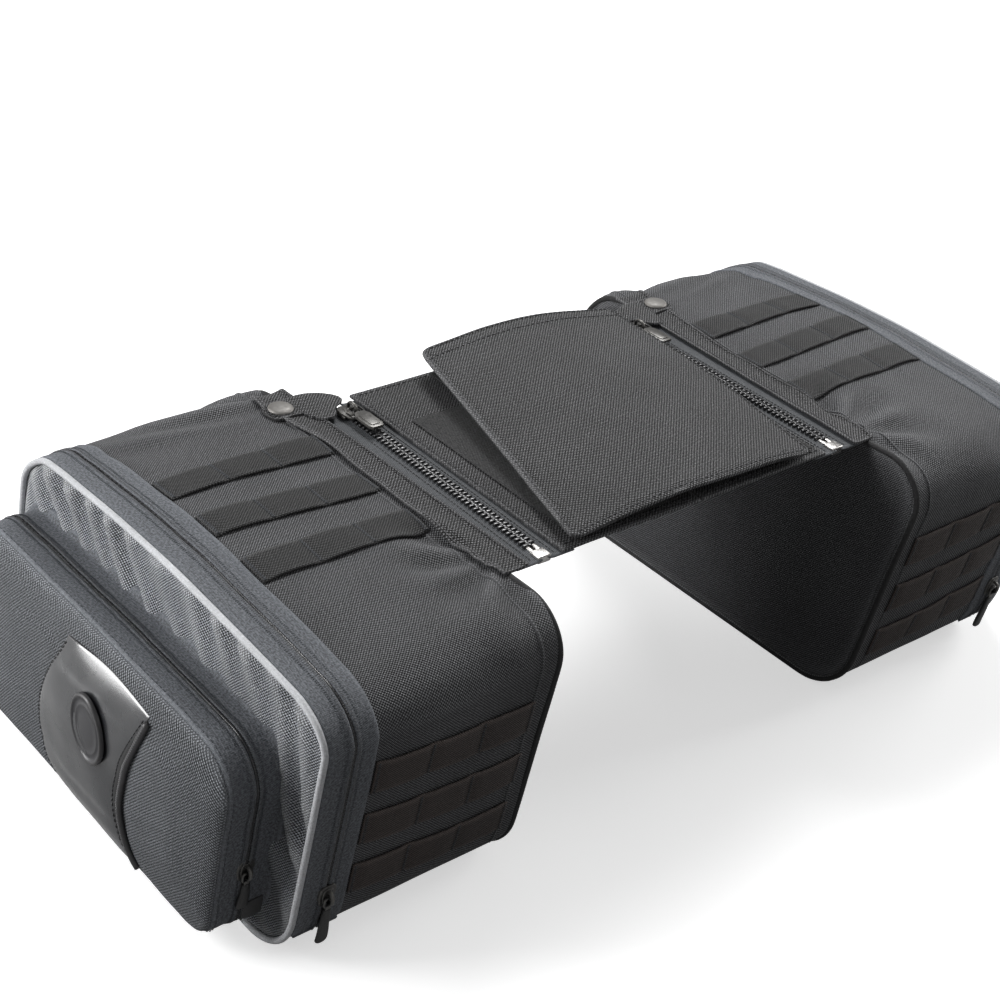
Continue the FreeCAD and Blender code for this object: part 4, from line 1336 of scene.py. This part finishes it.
def make_tab():
    """The tab: arched webbing with a rounded end that dips to the bag."""
    lo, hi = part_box("right_lock_strap")
    middle, half = (lo.y + hi.y) / 2, (hi.y - lo.y) / 2
    verts, uvs = [], []
    rows, cols = 46, 16
    for r in range(rows):
        x = lo.x + (hi.x - lo.x) * r / (rows - 1)
        reach = max(0.0, 1 - max(0.0, (x - hi.x + 8 * MM) / (8 * MM)) ** 2.4) ** 0.5
        arch = 0.5 * MM * math.sin(math.pi * r / (rows - 1))
        drop = max(0.0, (x - hi.x + 10 * MM) / (10 * MM)) ** 2 * 0.8 * MM
        for c in range(cols):
            s = -1 + 2 * c / (cols - 1)
            verts.append((x, middle + s * half * max(reach, 0.12), hi.z + 0.3 * MM + arch - drop))
            uvs.append((x, s * half))
    tab = mesh_piece("right_tab", verts, grid_faces(rows, cols), uvs)
    tab.data.flip_normals()
    thicken(tab, TAB_THICK)
    keep(rounded_edges(tab, 0.5 * MM, 2, 50), "right_strap", "right_lock_strap", FLAP_CLOTH)


def make_tab_root():
    """The tab's root: cloth that spreads from the tab to the rear end of the zip, under the flange."""
    xs = [x * MM for x in (124.5, 127, 132, 137, 139.5, 142, 146, 150, 154, 157.7)]
    rears = [y * MM for y in (-91, -94.5, -98, -100.5, -101.5, -102.5, -103.5, -104.3, -104.8, -105)]
    fores = [y * MM for y in (-87, -83.5, -81, -77, -72, -69, -67.5, -69, -74, -82)]
    verts, uvs = [], []
    rows, cols = 34, 16
    for x in steps(xs[0], xs[-1], rows):
        rear, fore = np.interp(x, xs, rears), np.interp(x, xs, fores)
        for c in range(cols):
            y = rear + (fore - rear) * c / (cols - 1)
            bend = 1.3 * math.sin(math.pi * (x - xs[0]) / (xs[-1] - xs[0])) + 0.6 * ripple(x, y, 0.1, 40, 2.0)
            verts.append((x, y, TAB_TOP + (0.3 + bend) * MM))
            uvs.append((x, y))
    root = mesh_piece("right_tab_root", verts, grid_faces(rows, cols), uvs)
    root.data.flip_normals()
    thicken(root, TAB_THICK)
    keep(rounded_edges(root, 0.5 * MM, 2, 50), ("yoke", "right_bag"), (), FLAP_CLOTH, bends=FOLD)


def make_stud():
    """The press stud's domed cap."""
    stud = (low("right_press_stud") + high("right_press_stud")) / 2
    base = TAB_TOP + 0.6 * MM
    profile = [(8.2, 0.0), (8.6, 0.5), (8.4, 1.2), (7.6, 1.8), (6.4, 2.25), (4.6, 2.6), (2.6, 2.8), (0.8, 2.88)]

    def place(r, h, a):
        return (stud.x + r * MM * math.cos(a), stud.y + r * MM * math.sin(a), base + h * MM)

    cap = dome("right_stud_cap", profile, 56, place, (stud.x, stud.y, base + 2.9 * MM))
    keep(cap, "right_strap", "right_press_stud", GUNMETAL)


def make_tab_stitches():
    """Stitches that go round the tab, inside its rounded end."""
    lo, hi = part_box("right_lock_strap")
    middle, inset = (lo.y + hi.y) / 2, (hi.y - lo.y) / 2 - 2.2 * MM
    start, bend, end = lo.x + 1.5 * MM, hi.x - 7 * MM, hi.x - 2.4 * MM
    corners = [(start, middle - inset), (bend, middle - inset), (end, middle - 5 * MM), (end, middle + 5 * MM),
               (bend, middle + inset), (start, middle + inset)]
    points = []
    for a, b in zip(corners, corners[1:]):
        points += [(a[0] + (b[0] - a[0]) * k / 8, a[1] + (b[1] - a[1]) * k / 8, hi.z + 0.55 * MM)
                   for k in range(8)]
    rows = stitch_run(points, length=2.4, gap=1.1, radius=0.32)
    keep(joined("right_tab_stitches", rows), "right_strap", (), THREAD)


# ---------------------------------------------------------------- yoke


def edge_rows(point, inset):
    """Stitches along the four sides of a sheet given as point(s, t)."""
    rows = []
    for side in range(4):
        path = []
        for k in range(81):
            a = inset + (1 - 2 * inset) * k / 80
            s, t = ((a, inset), (1 - inset, a), (1 - a, 1 - inset), (inset, 1 - a))[side]
            path.append(point(s, t, 0.1 * MM))
        rows += stitch_run(path)
    return rows


def make_wings():
    """The yoke's lower wing, thinner at its hemmed edges."""
    lo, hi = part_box("right_wing")
    wide, long = 108, 221

    def wing(s, t, out=0.0):
        x, y = lo.x + (hi.x - lo.x) * s, lo.y + (hi.y - lo.y) * t
        rim = min(s * wide, (1 - s) * wide, t * long, (1 - t) * long)
        swell = 0.5 * MM * min(1.0, rim / 6) + 0.25 * MM * ripple(x, y, 0.0, 22, 2.6)
        return (x, y, hi.z - 0.7 * MM + swell + out)

    sheet = grid_piece("right_lower_wing", wing, steps(0, 1, 40), steps(0, 1, 70), flat=True)
    thicken(sheet, WING_THICK)
    cut = flat_cut(wing, steps(0, 1, 20), steps(0, 1, 20), "stretched", ["right_yoke_zip_half"])
    keep(rounded_edges(sheet, 0.7 * MM, 2, 50), "yoke", "right_wing", FLAP_CLOTH, cut=cut)
    keep(joined("right_wing_stitches", edge_rows(wing, 0.022)), "yoke", (), THREAD)


def make_pile():
    """The loop pile on the wing, with a fuzzy face."""
    lo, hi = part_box("right_loop_field")

    def pile(u, v):
        fuzz = 0.35 * abs(ripple(u, v, 0.0, 700, 1.0)) + 0.3 * ripple(u, v, 0.0, 260, 4.4)
        return (u, v, hi.z - 0.55 * MM + fuzz * MM)

    nap = grid_piece("right_pile", pile, steps(lo.x, hi.x - 6 * MM, 110), steps(lo.y, hi.y, 200))
    keep(nap, "yoke", "right_loop_field", PILE)


def flap_height(x, y):
    """Height of the flap's upper face: an arch over the seat, lower towards the front left."""
    lo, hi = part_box("top_flap")
    t = (y - lo.y) / (hi.y - lo.y)
    reach = 118 * MM
    arch = max(0.0, 1 - ((x + 12 * MM) / reach) ** 2)
    rise = (12.0 + 14.0 * arch) * (1 - t) + (10.0 + 10.0 * arch + 3 * (x / (100 * MM))) * t
    droop = 1.3 * ripple(x, y, 0.0, 12, 6.6) + 0.5 * ripple(x, y, 0.0, 34, 1.4)
    return BAG_HIGH + MM * (rise + droop)


def flap_point(s, t, out=0.0):
    """Point of the flap's upper face, with s from 0 at its left edge to 1 at its right, and t from 0 at its
    rear edge to 1 at its front. The corners are rounded."""
    lo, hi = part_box("top_flap")
    y = lo.y + (hi.y - lo.y) * t
    past = min(t, 1 - t) * (hi.y - lo.y)
    inset = FLAP_CORNER - math.sqrt(FLAP_CORNER ** 2 - max(FLAP_CORNER - past, 0.0) ** 2)
    left = lo.x + (-7.5 + 25.5 * smooth(t, 0.25, 1.25)) * MM + inset
    right = hi.x - 55 * MM * (1 - t) - inset
    x = left + (right - left) * s
    bow = 2.0 * MM * math.sin(math.pi * s) * (1 if t > 0.5 else -1) * abs(2 * t - 1)
    return (x, y + bow * 0.6, flap_height(x, y) + out)


def make_flap():
    """The flap over the yoke, with a raised hem and its stitches."""
    wide, long = 200, 227

    def upper(s, t, out=0.0):
        rim = min(s * wide, (1 - s) * wide, t * long, (1 - t) * long)
        puff = 0.9 * min(1.0, rim / 9) - 0.9 + 0.7 * math.exp(-((rim - 2.6) / 1.5) ** 2)
        puff += 0.3 * math.exp(-((rim - 7.5) / 1.6) ** 2)
        x, y, z = flap_point(s, t)
        return (x, y, z + puff * MM + out)

    ends = steps(0, 0.035, 9)[:-1]
    rows = ends + steps(0.035, 0.965, 84) + [1 - t for t in reversed(ends)]
    sheet = grid_piece("upper_flap", upper, steps(0, 1, 80), rows, flat=True)
    thicken(sheet, FLAP_THICK)
    rounded_edges(sheet, 0.9 * MM, 3, 50)
    cut = flat_cut(flap_point, steps(0, 1, 40), steps(0, 1, 40), "draped",
                   ["right_wing", "left_wing", "hook_strips"])
    keep(sheet, "yoke", "top_flap", FLAP_CLOTH, both_sides=False, cut=cut)
    stitches = edge_rows(upper, 0.014)
    stitches += stitch_run([upper(s, 0.06, 0.1 * MM) for s in steps(0.014, 0.986, 90)])
    keep(joined("upper_flap_stitches", stitches), "yoke", (), THREAD, both_sides=False)


def make_hook_tapes():
    """The two hook tapes under the flap, rough on their lower faces."""
    lo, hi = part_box("hook_strips")
    wide = 30 * MM
    rows, cols = 120, 24
    parts = []
    for x0, x1 in ((lo.x, lo.x + wide), (hi.x - wide, hi.x)):
        verts = [(u, v, lo.z + 0.2 * MM - 0.25 * MM * abs(ripple(u, v, 0.0, 600, 2.0)))
                 for v in steps(lo.y, hi.y, rows) for u in steps(x0, x1, cols)]
        parts.append((verts, grid_faces(rows, cols)))
    tapes = joined("hook_tapes", parts)
    thicken(tapes, 0.8 * MM, offset=1.0)
    keep(tapes, "yoke", "hook_strips", HOOKS, both_sides=False)


# ---------------------------------------------------------------- floor, light and camera


# Each lamp's name, place and size in metres, and power in watts.
LAMPS = (
    ("key", (1.9, -0.9, 1.35), 0.9, 32), ("top", (-0.9, -1.0, 2.0), 0.9, 44),
    ("fill", (0.6, 2.3, 1.2), 1.2, 3.8), ("far", (-1.8, 0.2, 1.0), 1.0, 18),
    ("low", (1.2, -0.7, 0.3), 0.5, 6), ("under", (0.95, -0.42, 0.04), 0.45, 2.4))
CAMERA_PLACE = (0.77754, 0.79865, 0.80204)
CAMERA_RIGHT = (-0.77384, 0.62650, 0.09314)
CAMERA_UP = (-0.26406, -0.45277, 0.85163)
CAMERA_AHEAD = (-0.57571, -0.63443, -0.51580)


def make_floor():
    """A pale floor that takes shadows. Far off, it fades to white for the camera; in gloss it shows dimly."""
    floor = grid_piece("floor", lambda u, v: (u, v, -0.3 * MM), steps(-30, 30, 3), steps(-30, 30, 3))
    made, tree, shader = new_finish("pale floor", Roughness=0.9)
    shader.inputs["Base Color"].default_value = (0.80, 0.80, 0.80, 1)
    away = node(tree, "ShaderNodeVectorMath", {0: node(tree, "ShaderNodeNewGeometry").outputs["Position"]},
                operation="LENGTH")
    glow = node(tree, "ShaderNodeMapRange", {
        "Value": away.outputs["Value"], "From Min": 0.7, "From Max": 2.2, "To Min": 0.55, "To Max": 1.05})
    lit = node(tree, "ShaderNodeEmission", {"Color": (1, 1, 1, 1), "Strength": glow.outputs[0]})
    seen = node(tree, "ShaderNodeAddShader", {0: shader.outputs[0], 1: lit.outputs[0]})
    path = node(tree, "ShaderNodeLightPath")
    shade = node(tree, "ShaderNodeBsdfDiffuse", {"Color": (0.16, 0.16, 0.16, 1)})
    mirrored = maths(tree, "MULTIPLY", path.outputs["Is Glossy Ray"], 0.18)
    shown = maths(tree, "MAXIMUM", path.outputs["Is Camera Ray"], mirrored)
    choice = node(tree, "ShaderNodeMixShader", {0: shown, 1: shade.outputs[0], 2: seen.outputs[0]})
    output = next(n for n in tree.nodes if n.type == "OUTPUT_MATERIAL")
    link(tree, choice.outputs[0], output.inputs["Surface"])
    finish_with(floor, made)


def make_sky():
    """White behind everything, and dim as a light."""
    world = bpy.data.worlds.new("studio")
    bpy.context.scene.world = world
    world.use_nodes = True
    tree = world.node_tree
    path = node(tree, "ShaderNodeLightPath")
    seen = maths(tree, "MAXIMUM", path.outputs["Is Camera Ray"], path.outputs["Is Transmission Ray"])
    strength = node(tree, "ShaderNodeMapRange", {"Value": seen, "To Min": 0.2, "To Max": 1.0})
    sky = tree.nodes["Background"]
    sky.inputs["Color"].default_value = (1, 1, 1, 1)
    link(tree, strength.outputs[0], sky.inputs["Strength"])


def make_lamps():
    """Soft square lamps, each turned to the bags."""
    for name, place, size, power in LAMPS:
        lamp = bpy.data.lights.new(name, "AREA")
        lamp.size = size
        lamp.energy = power
        holder = bpy.data.objects.new(name, lamp)
        holder.location = place
        holder.visible_camera = False
        holder.rotation_mode = "QUATERNION"
        holder.rotation_quaternion = (Vector((0, 0, 0.1)) - Vector(place)).to_track_quat("-Z", "Y")
        bpy.context.scene.collection.objects.link(holder)


def make_camera():
    data = bpy.data.cameras.new("camera")
    data.lens = 67.46
    data.sensor_width = 36
    holder = bpy.data.objects.new("camera", data)
    turn = Matrix((CAMERA_RIGHT, CAMERA_UP, [-a for a in CAMERA_AHEAD])).transposed().to_4x4()
    holder.matrix_world = Matrix.Translation(CAMERA_PLACE) @ turn
    bpy.context.scene.collection.objects.link(holder)
    bpy.context.scene.camera = holder


make_camera()
make_bag()
make_lid()
make_band_tapes()
make_band_stitches()
make_band_ends()
make_pocket_band()
make_pocket_side()
pocket_panel = make_pocket_panel()
make_pocket_stitches()
make_patch(pocket_panel)
make_webbing()
make_flange()
make_zip_half("bag", "right_bag_zip_half", 1)
make_zip_half("yoke", "right_yoke_zip_half", -1)
make_zip_ends()
make_sliders()
make_tab()
make_tab_root()
make_stud()
make_tab_stitches()
make_wings()
make_pile()
make_flap()
make_hook_tapes()
for board in ("right_bottom_board", "left_bottom_board"):
    finish_with(frame["nodes"][board], BOARD)
for tab in ("right_pocket_zip_end", "left_pocket_zip_end"):
    finish_with(frame["nodes"][tab], TOP_WEBBING)
make_floor()
make_sky()
make_lamps()
bpy.context.scene.view_settings.view_transform = "Standard"
